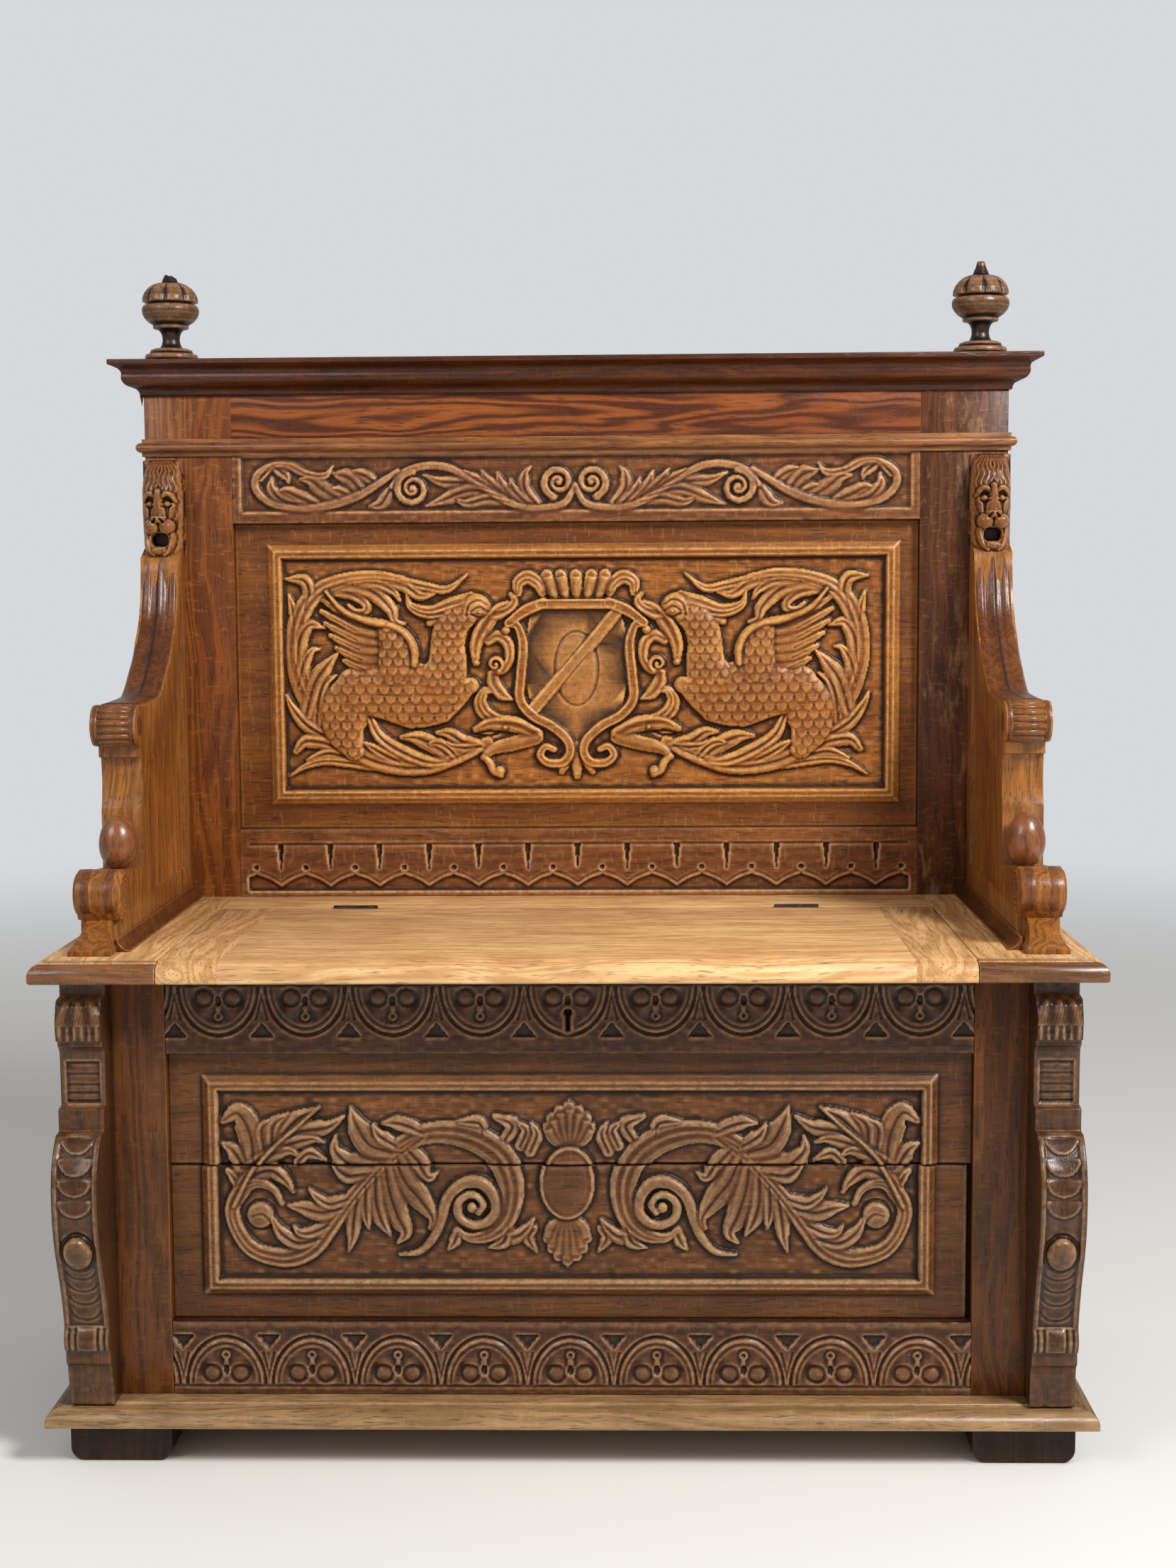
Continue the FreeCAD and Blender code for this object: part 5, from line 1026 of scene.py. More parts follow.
# %% Back rails
FIELD_HALF, FIELD_LOW, FIELD_HIGH = 388.0, 976.0, 1040.0
TOP_SCROLLS = [
    ([(-45, 984), (-58, 1000), (-58, 1018), (-52, 1026)], [6, 6, 2], 4.5),
    ([(-55, 984), (-70, 998), (-75, 1012)], [6, 6, 2], 4.5),
    ([(-65, 985), (-82, 1000), (-90, 1020)], [6, 6, 2], 4.5),
    ([(-75, 990), (-98, 1008), (-108, 1022)], [6, 6, 2], 4.5),
    ([(-90, 998), (-115, 1012), (-130, 1023)], [5, 6, 2], 4.5),
    ([(-95, 1000), (-125, 1008), (-155, 1010), (-175, 1018)], [6, 6, 2], 4.5),
    ([(-85, 992), (-120, 1000), (-150, 990), (-172, 982)], [7, 7, 2], 5),
    ([(-75, 985), (-100, 990), (-125, 985), (-140, 990)], [6, 6, 2], 4.5),
    ([(-215, 1000), (-225, 985), (-238, 982)], [6, 6, 3], 4.5),
    ([(-232, 1010), (-245, 1018), (-258, 1023)], [6, 6, 3], 4.5),
    ([(-248, 1000), (-262, 1015), (-280, 1020)], [8, 8, 3], 5),
    ([(-262, 995), (-275, 1000), (-283, 1003)], [6, 6, 3], 4.5),
    ([(-272, 990), (-290, 1000), (-305, 1012), (-318, 1014)], [8, 8, 3], 5),
    ([(-300, 985), (-318, 992), (-335, 1000), (-345, 998)], [7, 7, 3], 5),
    ([(-320, 984), (-340, 990), (-352, 1003), (-352, 1015)], [7, 7, 3], 5),
    ([(-365, 1015), (-350, 1030), (-330, 1030), (-310, 1020), (-290, 1018), (-280, 1030)],
     [4, 5, 5, 4, 4, 1], 5),
    ([(-350, 1030), (-335, 1018), (-332, 1010)], [5, 5, 2], 4.5),
]


def draw_back_top_rail(board):
    """A sunk field with two long stems on each side, the leaves along them and the volutes."""
    X, Z = board["X"], board["Z"]
    inward = np.minimum(np.minimum(X + FIELD_HALF, FIELD_HALF - X), np.minimum(Z - FIELD_LOW, FIELD_HIGH - Z))
    board["H"] = np.interp(inward, [-0.1, 0.0, 3.0], [0.0, -0.4, -3.2])
    tooled(board, 11, 0.25)
    stroke(board, [(0, 1005), (-12, 985), (-35, 979), (-60, 980), (-85, 990), (-105, 1003), (-130, 1018),
                   (-150, 1027), (-175, 1028), (-200, 1020), (-212, 1005)],
           [4, 5, 5, 5, 5, 5, 5, 4], 3.6, "stem", base=-2.0)
    stroke(board, [(-205, 1022), (-225, 1010), (-245, 998), (-270, 988), (-300, 981), (-330, 981),
                   (-355, 988), (-370, 1003), (-368, 1020), (-350, 1030), (-330, 1030), (-312, 1022)],
           [4, 5, 6, 6, 5, 5, 5, 4, 3], 3.6, "stem", base=-2.0)
    for points, widths, rise in TOP_SCROLLS:
        broad = [widths[0], widths[0] * 1.45] + [w * 1.3 for w in widths[1:-1]] + [widths[-1] * 0.8]
        stroke(board, points, broad, rise + 0.4, "leaf", 2, base=-3.0)
        stroke(board, points, [0.8, 1.0, 0.6], 1.0, "gouge")
    volute(board, -188, 1002, 20, 1.7, 90, 5.0, 2.6)
    volute(board, -19, 1009, 18, 1.6, 250, 5.0, 2.6, -1.0)


back_top_rail = blank(-BACK_HALF, BACK_HALF, PANEL_HIGH, BACK_RAIL_HIGH, 1.25)
draw_back_top_rail(back_top_rail)
relief_board("back_top_rail_carved", back_top_rail, BACK_RAIL_FACE, BACK_RAIL_BACK, rail_oak,
             ("back_rail_top",))


NOTCH_PITCH, NOTCH_LOW, NOTCH_HIGH = 58.3, 556.0, 588.0
DRILLED_HOLE, DRILLED_LEVEL = 2.6, 560.0


def draw_back_bottom_rail(board):
    """A line over a row of wedge-shaped notches, and the scalloped edge below them."""
    X, Z = board["X"], board["Z"]
    H = -1.5 * v_cut(Z - NOTCH_HIGH, 1.1) * (np.abs(X) < FIELD_HALF - 2.0)
    notch = np.clip((Z - NOTCH_LOW) / (NOTCH_HIGH - NOTCH_LOW), 0.05, 1.0) * 3.4
    for order in range(7):
        near = np.abs(np.abs(X) - order * NOTCH_PITCH) < notch
        H = np.where(near & (Z > NOTCH_LOW + 2.0) & (Z < NOTCH_HIGH), -4.0, H)
    half = NOTCH_PITCH / 2.0
    cell = X - NOTCH_PITCH * np.round((X - half) / NOTCH_PITCH) - half
    inside = (np.abs(X) < FIELD_HALF) & (Z > SEAT_TOP + 6.0)
    H -= 3.2 * (np.hypot(cell, Z - DRILLED_LEVEL) < DRILLED_HOLE)
    # The scalloped edge: ogee lines that leave each hole and meet in points between the holes
    out = np.abs(cell) / half
    edge = 553.0 - 15.0 * out ** 0.75 + 3.0 * np.sin(out * math.pi)
    H = np.where(inside & (Z < edge), np.maximum(-3.4, -1.6 * (edge - Z)), H)
    H -= 1.0 * v_cut(Z - edge - 4.5, 0.9) * inside * (np.abs(cell) > 4.0)
    board["H"] += H


back_bottom_rail = blank(-BACK_HALF, BACK_HALF, SEAT_TOP, PANEL_LOW)
draw_back_bottom_rail(back_bottom_rail)
tooled(back_bottom_rail, 12, 0.15)
relief_board("back_bottom_rail_carved", back_bottom_rail, BACK_RAIL_FACE, BACK_RAIL_BACK, rail_oak,
             ("back_rail_bottom",))


# %% [markdown]
# ## The consoles on the box corners
#
# A console is a bracket seen from the side: a leaf cap, a hollow, a panelled shaft and a long
# swelling S over a bead and a base. From the front its face is nowhere undercut, so it can be
# carved like a board whose face lies at another depth on every row. The side view gives that
# depth and the front view gives the scales, the boss and the leaf.

# %% Consoles
CONSOLE_MIDDLE, CONSOLE_HALF = 485.75, 22.75
LEAF_LOW, LEAF_HIGH = 442.0, 484.0
SHAFT_GROOVES = (418.0, 407.0, 396.0, 387.5, 379.0)
S_LOW, S_HIGH, BOSS_LEVEL = 152.0, 349.0, 235.0
SCALES_ABOVE, SCALES_BELOW = (334.0, 314.0, 294.0, 273.0), (204.0, 190.0, 175.0, 158.0)
# Level and how far the face stands out there
CONSOLE_SIDE = [(504, 25), (485, 25), (484, 40), (478, 44.6), (470, 47), (461, 48), (450, 47.2), (443, 45),
                (442, 38), (436.5, 38), (435, 35), (430, 31.6), (423, 30.5), (374.8, 30), (374, 42),
                (351.4, 42), (350.4, 54), (343, 61.5), (333, 69), (320, 75), (308, 78), (296.5, 79),
                (286.5, 79), (270, 78.2), (250, 75), (232, 69.6), (215.5, 63), (200, 57), (183, 51.2),
                (165, 46.6), (151.5, 44), (149.5, 44), (144, 46.6), (137.5, 48), (131, 46.6), (125.5, 44),
                (124.5, 40), (111.5, 40), (109, 37), (106, 35), (90, 32.2), (76.5, 30), (64.5, 30)]


def console(side, hand):
    """Carves H, the height over a face whose depth changes from row to row."""
    middle = hand * CONSOLE_MIDDLE
    board = blank(middle - CONSOLE_HALF, middle + CONSOLE_HALF, PLINTH_TOP, BOX_TOP, 1.1)
    x, z = board["X"] - middle, board["Z"]
    levels, outs = zip(*CONSOLE_SIDE[::-1])
    face = BOX_RAIL_FACE - np.interp(z, levels, outs)
    H = np.zeros_like(x)
    # The leaf cap: seven flutes that part at the middle, and a turned-over lip
    in_leaf = (z > LEAF_LOW) & (z < LEAF_HIGH)
    fan = x / (12.0 + 0.28 * (LEAF_HIGH - z))
    H -= in_leaf * 2.4 * (0.5 - 0.5 * np.cos(fan * 6.2)) * np.clip((z - LEAF_LOW - 2.0) / 8.0, 0.0, 1.0)
    H -= (in_leaf & (z < LEAF_LOW + 16.0)) * 1.6 * (0.5 + 0.5 * np.cos(x * 0.85))
    H -= in_leaf * 0.5 * np.sin(x * 2.1 + z * 0.35) * np.sin(z * 0.9)
    # The shaft: a narrow field with five cross grooves
    H -= 1.6 * ((np.abs(x) < 16.5) & (z < 420.0) & (z > 377.0))
    for level in SHAFT_GROOVES:
        H -= 1.5 * v_cut(z - level) * (np.abs(x) < 17.0)
    # A rim down both sides of the S, and overlapping round scales above and below the boss
    in_s = (z < S_HIGH) & (z > S_LOW)
    rim = np.clip((np.abs(x) - 16.6) / 1.6, 0.0, 1.0)
    H -= in_s * 2.2 * (1.0 - rim) * np.clip((S_HIGH - z) / 3.0, 0.0, 1.0)
    in_field = in_s & (np.abs(x) < 16.6)
    for low in SCALES_ABOVE:
        r = np.hypot(x / 17.5, (z - low - 17.0) / 17.0)
        H = np.where(in_field & (r < 1.0) & (z < low + 17.0), -2.2 + 2.4 * r ** 2, H)
        H -= in_field * 0.9 * v_cut(r - 1.05, 0.035) * (z < low + 14.0)
    for low in SCALES_BELOW:
        r = np.hypot(x / 15.5, (z - low - 13.0) / 13.0)
        H -= in_s * 1.7 * v_cut(r - 1.0, 0.07) * (z < low + 11.0) * (np.abs(x) < 16.0)
    H -= in_s * 0.35 * np.cos(x * 3.0) * (np.abs(x) < 15.0) * (z > 262.0)
    H -= 1.6 * v_cut(np.hypot(x / 16.6, (z - BOSS_LEVEL) / 20.6) - 1.0, 0.08)
    local = {"X": x, "Z": z, "H": H, "step": board["step"]}
    button(local, 0.0, BOSS_LEVEL, 14.6, 18.4, 12.0, both=False, base=-1.5)
    # The bead and reel under the S
    in_bead = (z > 126.0) & (z < 150.0)
    local["H"] -= in_bead * 2.6 * v_cut(np.abs(np.abs(x) - 14.5) - 3.2)
    local["H"] += in_bead * 1.6 * np.sqrt(np.clip(1.0 - (x / 10.5) ** 2, 0.0, 1.0))
    tooled(local, 21 if hand > 0 else 22, 0.18)
    # Where the face runs out steeply, less height is the same carving
    slope = np.abs(np.gradient(face, axis=0)) / board["step"]
    board["H"] = local["H"] / np.maximum(slope, 1.0)
    relief_board("console_carved_" + side, board, face, BOX_RAIL_FACE, console_oak, ("console_" + side,))


for side, hand in SIDES.items():
    console(side, hand)


# %% [markdown]
# ## The arms
#
# An arm is sawn from one thick board and then carved on its front edge. Its sawn bulk comes
# from the frame, with softened arrises. What the carver added goes on as close-fitting pieces:
# the lion's mask with its mane, the folded drapery below it, the reeded roll of the arm rest,
# the polished egg and the double scroll over the foot.

# %% Arm bulk and a tool for lofted rings
ARM_MIDDLE = 476.5
ROLL_DEPTH, ROLL_LEVEL, ROLL_HALF = 180.0, 747.0, 24.25
EGG_DEPTH, EGG_LEVEL, EGG_HALF, EGG_RADIUS = 171.0, 624.0, 29.6, 20.0
SCROLL_DEPTH, SCROLL_LEVEL, SCROLL_RADIUS = 95.0, 581.0, 25.2
# The bulk behind each lion's mask goes back far enough for the mask to show whole
for side in SIDES:
    push_back(softened("arm_" + side, arm_side_lit_oak, 1.0, 40.0), 436.0, 436.0, 932.0)


def full_turn(sides):
    """Angles all the way round, without the first one again."""
    return np.linspace(0.0, 2.0 * math.pi, sides, endpoint=False)


def hoop(axis, place, middle, r, a):
    """One ring of points round an axis along x or upright, at a place along that axis."""
    along = np.broadcast_to(place, a.shape)
    u, v = middle[0] + r * np.cos(a), middle[1] + r * np.sin(a)
    return np.stack([along, u, v] if axis == "x" else [u, v, along], 1)


def lofted(name, rings, material, hand=1.0, ridge_depth=0.8, smooth_rounds=6):
    """Closed rings of points, one after another, capped at both ends. x is counted from the
    middle of the arm and y back from the seat's edge."""
    rings = np.array(rings, float)
    rows, columns, _ = rings.shape
    reach = np.linalg.norm(rings - rings.mean(axis=1, keepdims=True), axis=2)
    low = reach.copy()
    for _ in range(smooth_rounds):
        low = (np.roll(low, 1, 1) + np.roll(low, -1, 1) + 2.0 * low) / 4.0
        low = np.pad(low, ((1, 1), (0, 0)), mode="edge")
        low = (low[:-2] + low[2:] + 2.0 * low[1:-1]) / 4.0
    proud = (reach - low) / ridge_depth
    proud[:2], proud[-2:] = 0.0, 0.0
    points = rings.reshape(-1, 3).copy()
    points[:, 0] = points[:, 0] * hand
    points[:, 1] += FRONT_EDGE
    index = np.arange(rows * columns)
    faces = ring_faces(rows, columns, True) + [index[:columns][::-1].tolist(), index[-columns:].tolist()]
    # Proud points get the paler mark (wear and painted highlight), sunk points get the dark one (wax and
    # painted shade)
    marks = {"wear_and_highlight": np.clip(proud, 0.0, 1.0).ravel(), "wax_and_shade": np.clip(-proud, 0.0, 1.0).ravel()}
    piece = finish_mesh(name, points, faces, marks, material)
    # On the left the rings are mirrored, so the faces are turned outwards afterwards
    bm = bmesh.new()
    bm.from_mesh(piece.data)
    bmesh.ops.recalc_face_normals(bm, faces=bm.faces)
    bm.to_mesh(piece.data)
    bm.free()
    return piece


# %% Lion's mask
MASK_HALF, MASK_LOW, MASK_HIGH = 24.5, 904.0, 1036.5


def lion(side, hand):
    """The mask is carved like a small board, on a dome that stands out from the stile."""
    middle = hand * ARM_MIDDLE
    board = blank(-MASK_HALF, MASK_HALF, MASK_LOW, MASK_HIGH, 0.75)
    x, z = board["X"], board["Z"]
    levels = (904, 912, 925, 940, 960, 985, 1000, 1018, 1030, 1036.5)
    outs = (30, 33, 34, 34, 33, 33, 34, 27, 17, 8)
    half = np.interp(z, (904, 915, 940, 975, 1000, 1020, 1036.5), (15, 19, 22.5, 24, 24, 22, 18))
    dome = np.interp(z, levels, outs) * np.sqrt(np.clip(1.0 - np.abs(x / half) ** 3.2, 0.0, 1.0))
    board["H"] = dome.copy()

    def carve(points, widths, rise, kind="leaf", flutes=1):
        stroke(board, points, widths, rise, kind, flutes, base=dome)

    # The mane, in locks over the brow, down the cheeks and under the chin
    for place in (2.5, 8.0, 13.5, 19.0):
        carve([(place * 0.5, 1034), (place * 0.8 + 2.0, 1024), (place - 1.5, 1014), (place + 1.5, 1005),
               (place, 998)], [2.6, 3.4, 3.4, 3.2, 1.5], 3.6, "leaf", 2)
    for place, start in ((19.5, 1006), (20.5, 990), (20.0, 972), (19.0, 955)):
        carve([(place - 3.0, start), (place, start - 10), (place - 2.0, start - 20),
               (place + 1.0, start - 32), (place - 3.5, start - 42)],
              [2.8, 3.6, 3.6, 3.0, 1.2], 3.4, "leaf", 2)
    carve([(11.0, 948), (14.5, 936), (11.5, 924), (13.0, 910)], [2.5, 3.4, 3.0, 1.2], 3.2, "leaf", 2)
    carve([(3.0, 936), (4.5, 925), (2.5, 914), (3.5, 906)], [2.5, 3.4, 3.0, 1.2], 3.2, "leaf", 2)
    # Brows, nose, cheeks, eyes and mouth
    carve([(2.5, 992), (8.0, 997), (14.0, 996), (19.0, 988)], [2.5, 3.6, 3.4, 1.8], 6.0, "stem")
    carve([(16.0, 984), (14.5, 975), (12.5, 968)], [3.5, 4.0, 3.0], 4.0, "stem")
    stroke(board, [(0, 1000), (0, 990), (0, 980), (0, 970)],
           [4, 5.5, 8, 10], 11.0, "stem", both=False, base=dome)
    button(board, 0.0, 969.0, 10.5, 7.0, 14.8, both=False, base=31.5)
    button(board, 8.8, 960.0, 9.4, 9.6, 12.0, base=32.0)
    button(board, 9.6, 985.5, 4.6, 3.4, 6.4, base=31.0)
    stroke(board, [(4.6, 983), (9.6, 981.0), (15.0, 984)], [1.3, 1.3], 2.4, "gouge")
    stroke(board, [(4.6, 987.5), (9.6, 990.6), (15.0, 987.5)], [1.3, 1.3], 2.4, "gouge")
    button(board, 9.6, 985.0, 1.3, 1.3, -1.6, base=36.0)
    stroke(board, [(3.0, 968), (5.6, 965.0)], [2.0, 2.0], 4.0, "gouge")
    stroke(board, [(0.0, 963), (0.0, 953)], [1.1, 1.1], 3.5, "gouge", both=False)
    mouth = (np.abs(x / 9.8) ** 2.6 + np.abs((z - 944.5) / 8.0) ** 2.6) < 1.0
    board["H"] = np.where(mouth, 13.0, board["H"])
    stroke(board, [(13.5, 958), (15.5, 946), (12.0, 934), (6.0, 928)],
           [3.0, 3.4, 3.4, 3.0], 6.0, "stem", base=dome)
    button(board, 0.0, 932.0, 11.5, 5.4, 8.0, both=False, base=33.0)
    button(board, 0.0, 932.5, 7.2, 2.6, -3.2, both=False, base=42.0)
    button(board, 0.0, 920.0, 9.0, 7.0, 4.0, both=False, base=33.0)
    edge = np.clip((half - np.abs(x)) / 1.5, 0.0, 1.0)
    board["H"] = np.clip(board["H"], 0.6, 46.5) * np.where(edge > 0.0, 1.0, 0.02)
    board["X"] = board["X"] + middle
    relief_board("lion_mask_" + side, board, BACK_RAIL_FACE, BACK_RAIL_FACE + 0.6, arm_oak)


for side, hand in SIDES.items():
    lion(side, hand)

# %% Drapery on the neck of the arm
NECK = [(405.5, 918), (403, 905), (399, 889), (394, 872), (387, 856), (377, 842), (363, 828), (347, 811),
        (328, 797), (309, 783), (288, 772.5), (262, 770), (236, 769.2), (212, 768.6), (192, 768.4)]


def neck(side, hand):
    """A strip that follows the neck's front edge, in folds that run out on the arm rest."""
    line = smooth_line(NECK, 12)
    ahead = np.gradient(line, axis=0)
    ahead /= np.linalg.norm(ahead, axis=1, keepdims=True)
    out = np.stack([ahead[:, 1], -ahead[:, 0]], 1)
    share = np.linspace(0.0, 1.0, len(line))
    across = np.linspace(-1.0, 1.0, 43)
    corners = (ARM_MIDDLE + 20.5, ARM_MIDDLE - 20.5)
    rings = []
    for (depth, z), (out_depth, out_z), t in zip(line, out, share):
        folds = 1.9 * np.cos(across * (9.5 - 3.0 * t) + 0.5) * (1.0 - t) ** 1.3 * (1.0 - 0.35 * across ** 2)
        folds += 0.5 * np.cos(across * 23.0 + 4.0 * t) * (1.0 - t) ** 2
        crown = 1.6 * (1.0 - across ** 4)
        height = 0.3 + crown + folds - 2.6 * (np.abs(across) ** 10)
        x = ARM_MIDDLE + across * 21.9
        front = np.stack([x, depth + out_depth * height, z + out_z * height], 1)
        back = [[corner, depth - out_depth * 5.0, z - out_z * 5.0] for corner in corners]
        rings.append(np.vstack([front, back]))
    lofted("neck_drapery_" + side, rings, arm_oak, hand)


for side, hand in SIDES.items():
    neck(side, hand)


# %% Roll, egg and scroll
def roll_core(side, hand):
    """The plain rims of the roll. Its reeds are laid round it afterwards."""
    a = full_turn(72)
    rings = []
    for t in np.linspace(0.0, 1.0, 98):
        place = ARM_MIDDLE - ROLL_HALF + 2.0 * ROLL_HALF * t
        r = np.interp(abs(place - ARM_MIDDLE), (0.0, 16.2, 17.0, 18.5, 21.5, 23.6, 24.2, ROLL_HALF),
                      (19.6, 19.6, 21.3, 22.0, 22.0, 21.2, 19.6, 0.5))
        rings.append(hoop("x", place, (ROLL_DEPTH, ROLL_LEVEL), r, a))
    lofted("roll_core_" + side, rings, arm_oak, hand)


def egg(side, hand):
    """An egg that is a little fuller below its middle."""
    a = full_turn(48)
    rings = []
    for t in np.linspace(-1.0, 1.0, 44):
        r = EGG_RADIUS * math.sqrt(max(0.0004, 1.0 - t ** 2)) * (1.0 - 0.06 * t)
        rings.append(hoop("z", EGG_LEVEL + EGG_HALF * t, (ARM_MIDDLE, EGG_DEPTH), r, a))
    lofted("polished_egg_" + side, rings, egg_oak, hand)


def scroll(side, hand):
    """Two rounded lobes side by side, with a spiral cut into each end."""
    a = full_turn(96)
    middle = (SCROLL_DEPTH, SCROLL_LEVEL)
    rings = []
    for t in np.linspace(-1.0, 1.0, 61):
        lobe = abs(abs(t) - 0.5) / 0.5
        rings.append(hoop("x", ARM_MIDDLE + 24.5 * t, middle, SCROLL_RADIUS * (1.0 - 0.17 * lobe ** 3.0), a))
    for face in (-1.0, 1.0):
        ends = []
        for r in np.linspace(20.5, 0.4, 26):
            turn = (r / 5.6 + face * a / (2.0 * math.pi)) % 1.0
            depth = 1.9 * v_cut(turn - 0.5, 0.13)
            ends.append(hoop("x", ARM_MIDDLE + face * (24.6 - depth), middle, r, a))
        rings = rings + ends if face > 0 else ends[::-1] + rings
    lofted("double_scroll_" + side, rings, arm_oak, hand)


for side, hand in SIDES.items():
    roll_core(side, hand)
    egg(side, hand)
    scroll(side, hand)


# %% [markdown]
# ## Reeds round the roll
#
# Eighteen identical reeds lie round each roll. That is a rule, not a shape, so a small Geometry
# Nodes tree does it: a circle of points, one reed set on each and turned to lie along the roll.

# %% Reeds by Geometry Nodes
REED_COUNT = 18
REED_SIZES = {"Roll radius": 0.0196, "Reed radius": 0.0030, "Reed length": 0.0325}


def reeds_tree():
    """The tree, with its sizes in metres, the count and the finish as named inputs."""
    tree = bpy.data.node_groups.new("reeds_round_a_roll", "GeometryNodeTree")
    face = tree.interface
    face.new_socket("Geometry", in_out="INPUT", socket_type="NodeSocketGeometry")
    for socket, value in REED_SIZES.items():
        face.new_socket(socket, in_out="INPUT", socket_type="NodeSocketFloat").default_value = value
    face.new_socket("Reed count", in_out="INPUT", socket_type="NodeSocketInt").default_value = REED_COUNT
    face.new_socket("Finish", in_out="INPUT", socket_type="NodeSocketMaterial")
    face.new_socket("Geometry", in_out="OUTPUT", socket_type="NodeSocketGeometry")
    given = tree.nodes.new("NodeGroupInput")
    ring = add(tree, "MeshCircle", {"Vertices": given.outputs["Reed count"],
                                    "Radius": given.outputs["Roll radius"]})
    reed = add(tree, "MeshCylinder", {"Vertices": 12, "Side Segments": 2,
                                      "Radius": given.outputs["Reed radius"],
                                      "Depth": given.outputs["Reed length"]})
    laid = add(tree, "InstanceOnPoints", {"Points": ring, "Instance": reed})
    whole = add(tree, "RealizeInstances", {0: laid})
    smooth = add(tree, "SetShadeSmooth", {0: whole})
    finished = add(tree, "SetMaterial", {0: smooth, "Material": given.outputs["Finish"]})
    made = tree.nodes.new("NodeGroupOutput")
    tree.links.new(finished.outputs[0], made.inputs[0])
    return tree


def grown(name, tree, settings, move, rubbed=0.0):
    """Runs a tree on an empty mesh, moves what it makes into place and keeps it as a mesh."""
    seed = new_object("seed", bpy.data.meshes.new("seed"))
    modifier = seed.modifiers.new("grow", "NODES")
    modifier.node_group = tree
    for item in tree.interface.items_tree:
        if item.in_out == "INPUT" and item.name in settings:
            modifier[item.identifier] = settings[item.name]
    seed.update_tag()
    mesh = bpy.data.meshes.new_from_object(seed.evaluated_get(bpy.context.evaluated_depsgraph_get()))
    mesh.transform(move)
    bpy.data.objects.remove(seed)
    mesh.name = name
    # Every point gets the same paler mark: rubbed wear and painted highlight
    wear_and_highlight = mesh.attributes.new("wear_and_highlight", "FLOAT", "POINT")
    wear_and_highlight.data.foreach_set("value", [rubbed] * len(mesh.vertices))
    piece = new_object(name, mesh)
    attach(piece, "settle_frame")
    print(name, "-", len(mesh.polygons), "faces")


reeds = reeds_tree()
lie_along_x = Matrix.Rotation(math.pi / 2.0, 4, "Y")
for side, hand in SIDES.items():
    place = [v * MM for v in (hand * ARM_MIDDLE, ROLL_DEPTH + FRONT_EDGE, ROLL_LEVEL)]
    grown("roll_reeds_" + side, reeds, {"Reed count": REED_COUNT, "Finish": arm_oak},
          Matrix.Translation(place) @ lie_along_x, 0.35)


# %% [markdown]
# ## The finials
#
# Each finial is turned on a lathe: a base, a waist and a cup. The dome above the cup was then
# cut into eight flutes with a flat rim, and ends in a small spike. The left spike has snapped.

# %% Finials
FINIAL_PLACE, FINIAL_DEPTH, CAP_TOP = 465.5, 445.5, 1150.0
# Height over the cap and radius there
FINIAL = [(0.0, 27.6), (2.0, 30.0), (5.0, 30.4), (7.6, 29.0), (8.4, 25.6), (10.2, 24.4), (12.6, 23.6),
          (14.4, 19.0), (15.0, 13.2), (19.0, 10.8), (24.0, 9.8), (29.0, 10.2), (33.0, 11.8), (36.4, 14.8),
          (37.2, 19.8), (39.6, 20.6), (41.0, 19.8), (42.4, 22.0), (45.6, 26.6), (49.6, 30.0), (54.0, 32.2),
          (58.4, 32.6), (62.0, 31.6), (63.6, 30.0), (64.4, 26.0), (66.4, 26.0), (66.9, 31.0), (68.0, 32.2),
          (73.0, 31.6), (78.0, 29.4), (83.0, 25.4), (86.6, 20.4), (88.6, 14.6), (89.4, 9.4), (91.0, 9.0),
          (95.0, 7.2), (99.0, 5.6), (102.6, 4.8), (104.3, 4.2), (104.5, 0.4)]


def finial(name, x, broken):
    """The lathe's rings, with the dome above the cup drawn in between its eight lobes."""
    a = full_turn(96)
    profile = []
    for low, high in zip(FINIAL, FINIAL[1:]):
        steps = max(1, int((high[0] - low[0]) / 1.2))
        for t in np.linspace(0.0, 1.0, steps, endpoint=False):
            profile.append((low[0] + (high[0] - low[0]) * t, low[1] + (high[1] - low[1]) * t))
    profile.append(FINIAL[-1])
    lobe = np.abs(np.sin(a * 4.0))
    rings = []
    for height, r in profile:
        cut = np.interp(height, (66.2, 67.5, 86.0, 89.4), (0.0, 0.13, 0.16, 0.0))
        around = r * (1.0 - cut * (1.0 - lobe ** 0.55))
        if broken:
            height = np.minimum(height, 96.5 - 0.28 * around * np.cos(a - 0.5) + 0.5 * np.sin(a * 5.0))
        rings.append(hoop("z", CAP_TOP + height, (x, FINIAL_DEPTH), around, a))
    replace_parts(lofted(name, rings, finial_oak, 1.0, 0.6), "finials")


finial("finial_right_turned", FINIAL_PLACE, False)
finial("finial_left_turned", -FINIAL_PLACE, True)


# %% [markdown]
# ## Floor, backdrop and light
#
# The settle stands on a plain pale floor. Two metres out the floor begins to fade, and beyond
# five there is only the pale sky, so that no edge or horizon shows from any side. A small lamp
# high on the right is the key: it rakes across the carving and throws one clear shadow. A wide
# weak one on the left and the sky fill the rest.

# %% Floor
FLOOR_RADIUS, FADE_START, FADE_END = 7.0, 2.0, 5.0


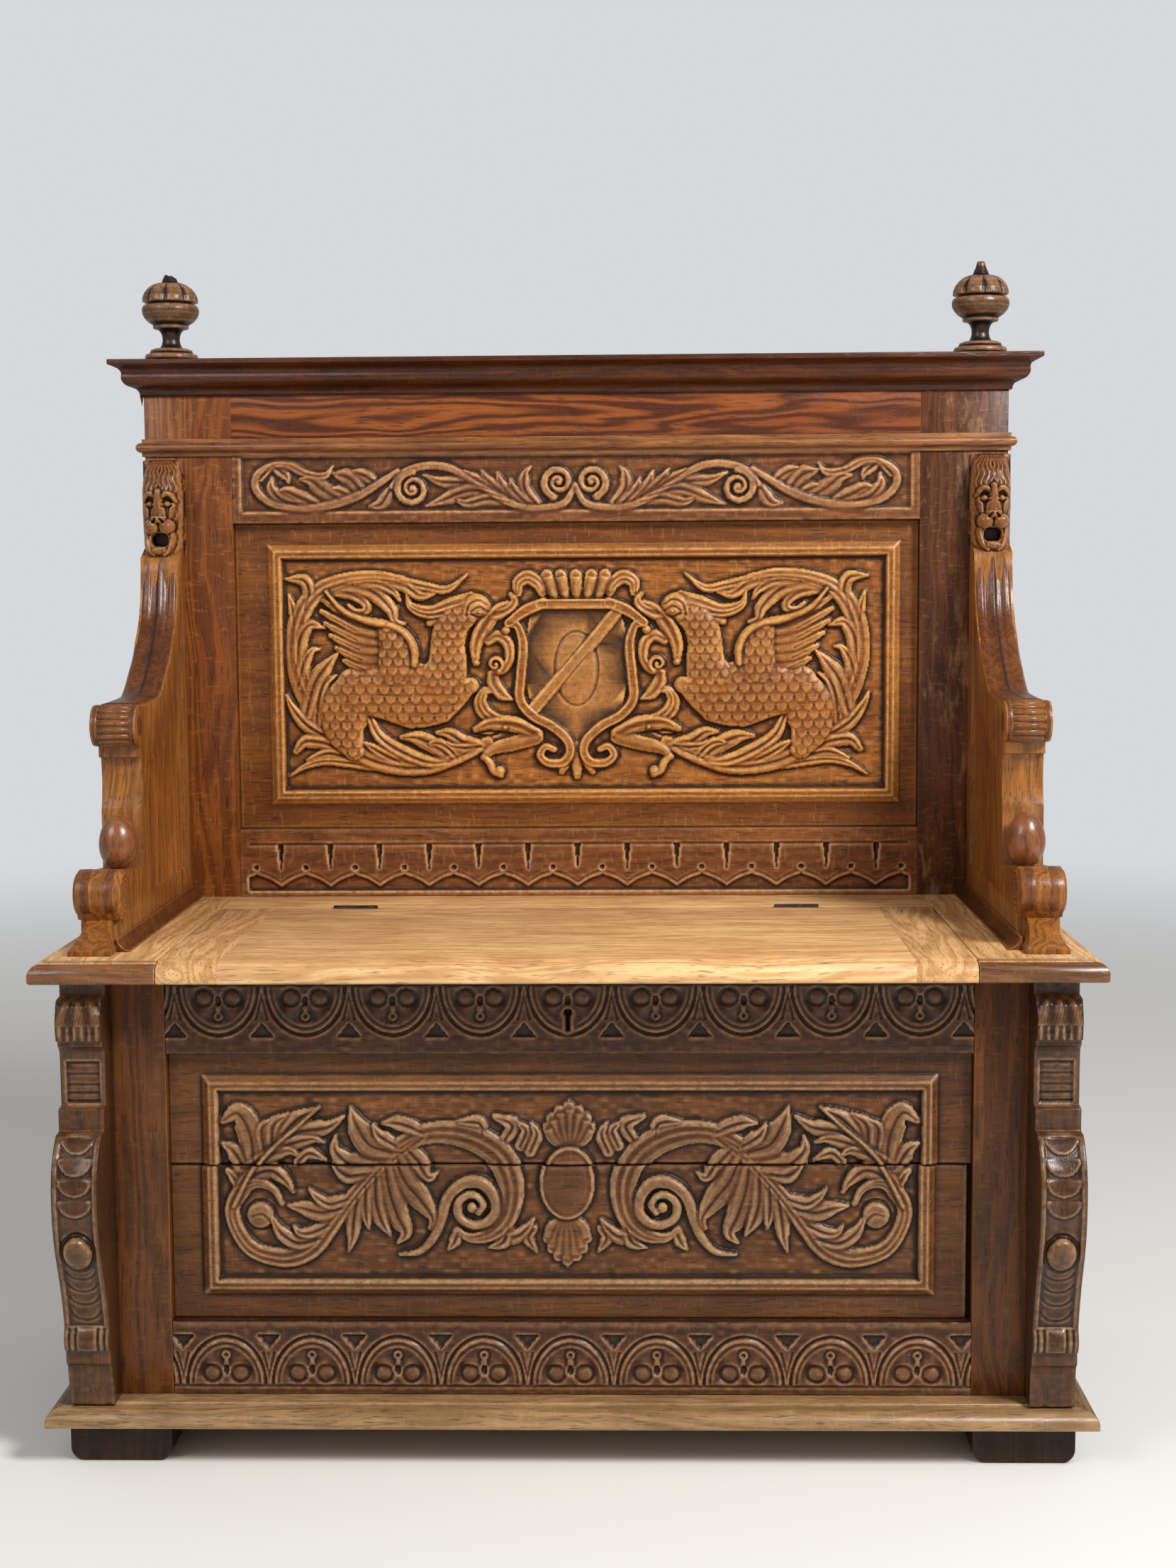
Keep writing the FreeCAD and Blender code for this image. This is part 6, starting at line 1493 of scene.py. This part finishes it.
def plain_floor(spokes=48):
    """A disc, in metres, whose matt grey gives way to clear air towards its edge."""
    turns = [2.0 * math.pi * k / spokes for k in range(spokes)]
    rim = [(FLOOR_RADIUS * math.cos(turn), FLOOR_RADIUS * math.sin(turn), 0.0) for turn in turns]
    mesh = bpy.data.meshes.new("floor")
    mesh.from_pydata([(0.0, 0.0, 0.0)] + rim, [], [(0, 1 + k, 1 + (k + 1) % spokes) for k in range(spokes)])
    floor = new_object("floor", mesh)
    finish, tree = new_finish("pale_matt_floor")
    place = add(tree, "TexCoord").outputs["Object"]
    far = add(tree, "VectorMath", {0: place}, operation="LENGTH").outputs["Value"]
    gone = add(tree, "MapRange", {0: far, 1: FADE_START, 2: FADE_END, 3: 0.0, 4: 1.0},
               interpolation_type="SMOOTHSTEP")
    matt = add(tree, "BsdfPrincipled", {"Base Color": paint("#EDEBE6"), "Roughness": 0.85})
    air = add(tree, "BsdfTransparent")
    both = add(tree, "MixShader", {0: gone, 1: matt, 2: air})
    add(tree, "OutputMaterial", {"Surface": both})
    mesh.materials.append(finish)


plain_floor()

# %% Lamps and sky
LIT_PLACE = (0.0, 0.0, 0.6)


def soft_lamp(name, place, side, power):
    """A square lamp, in metres and watts, that looks at the middle of the settle."""
    lamp = bpy.data.lights.new(name, "AREA")
    lamp.shape = "RECTANGLE"
    lamp.size, lamp.size_y, lamp.energy = side, side, power
    holder = new_object(name, lamp)
    ahead = (Vector(LIT_PLACE) - Vector(place)).normalized()
    holder.matrix_world = Matrix.Translation(place) @ ahead.to_track_quat("-Z", "Y").to_matrix().to_4x4()


soft_lamp("high_right_lamp", (2.1, -2.1, 2.8), 0.9, 138.0)
soft_lamp("high_left_lamp", (-2.2, -2.3, 2.5), 1.3, 36.0)
world = bpy.data.worlds.new("pale_sky")
world.use_nodes = True
sky = world.node_tree
sky.nodes.clear()
fill = add(sky, "Background", {"Color": paint("#F0F1F3"), "Strength": 0.38})
seen = add(sky, "Background", {"Color": paint("#D6D8DB"), "Strength": 1.0})
looks = add(sky, "LightPath").outputs["Is Camera Ray"]
chosen = add(sky, "MixShader", {0: looks, 1: fill, 2: seen})
add(sky, "OutputWorld", {"Surface": chosen})
bpy.context.scene.world = world
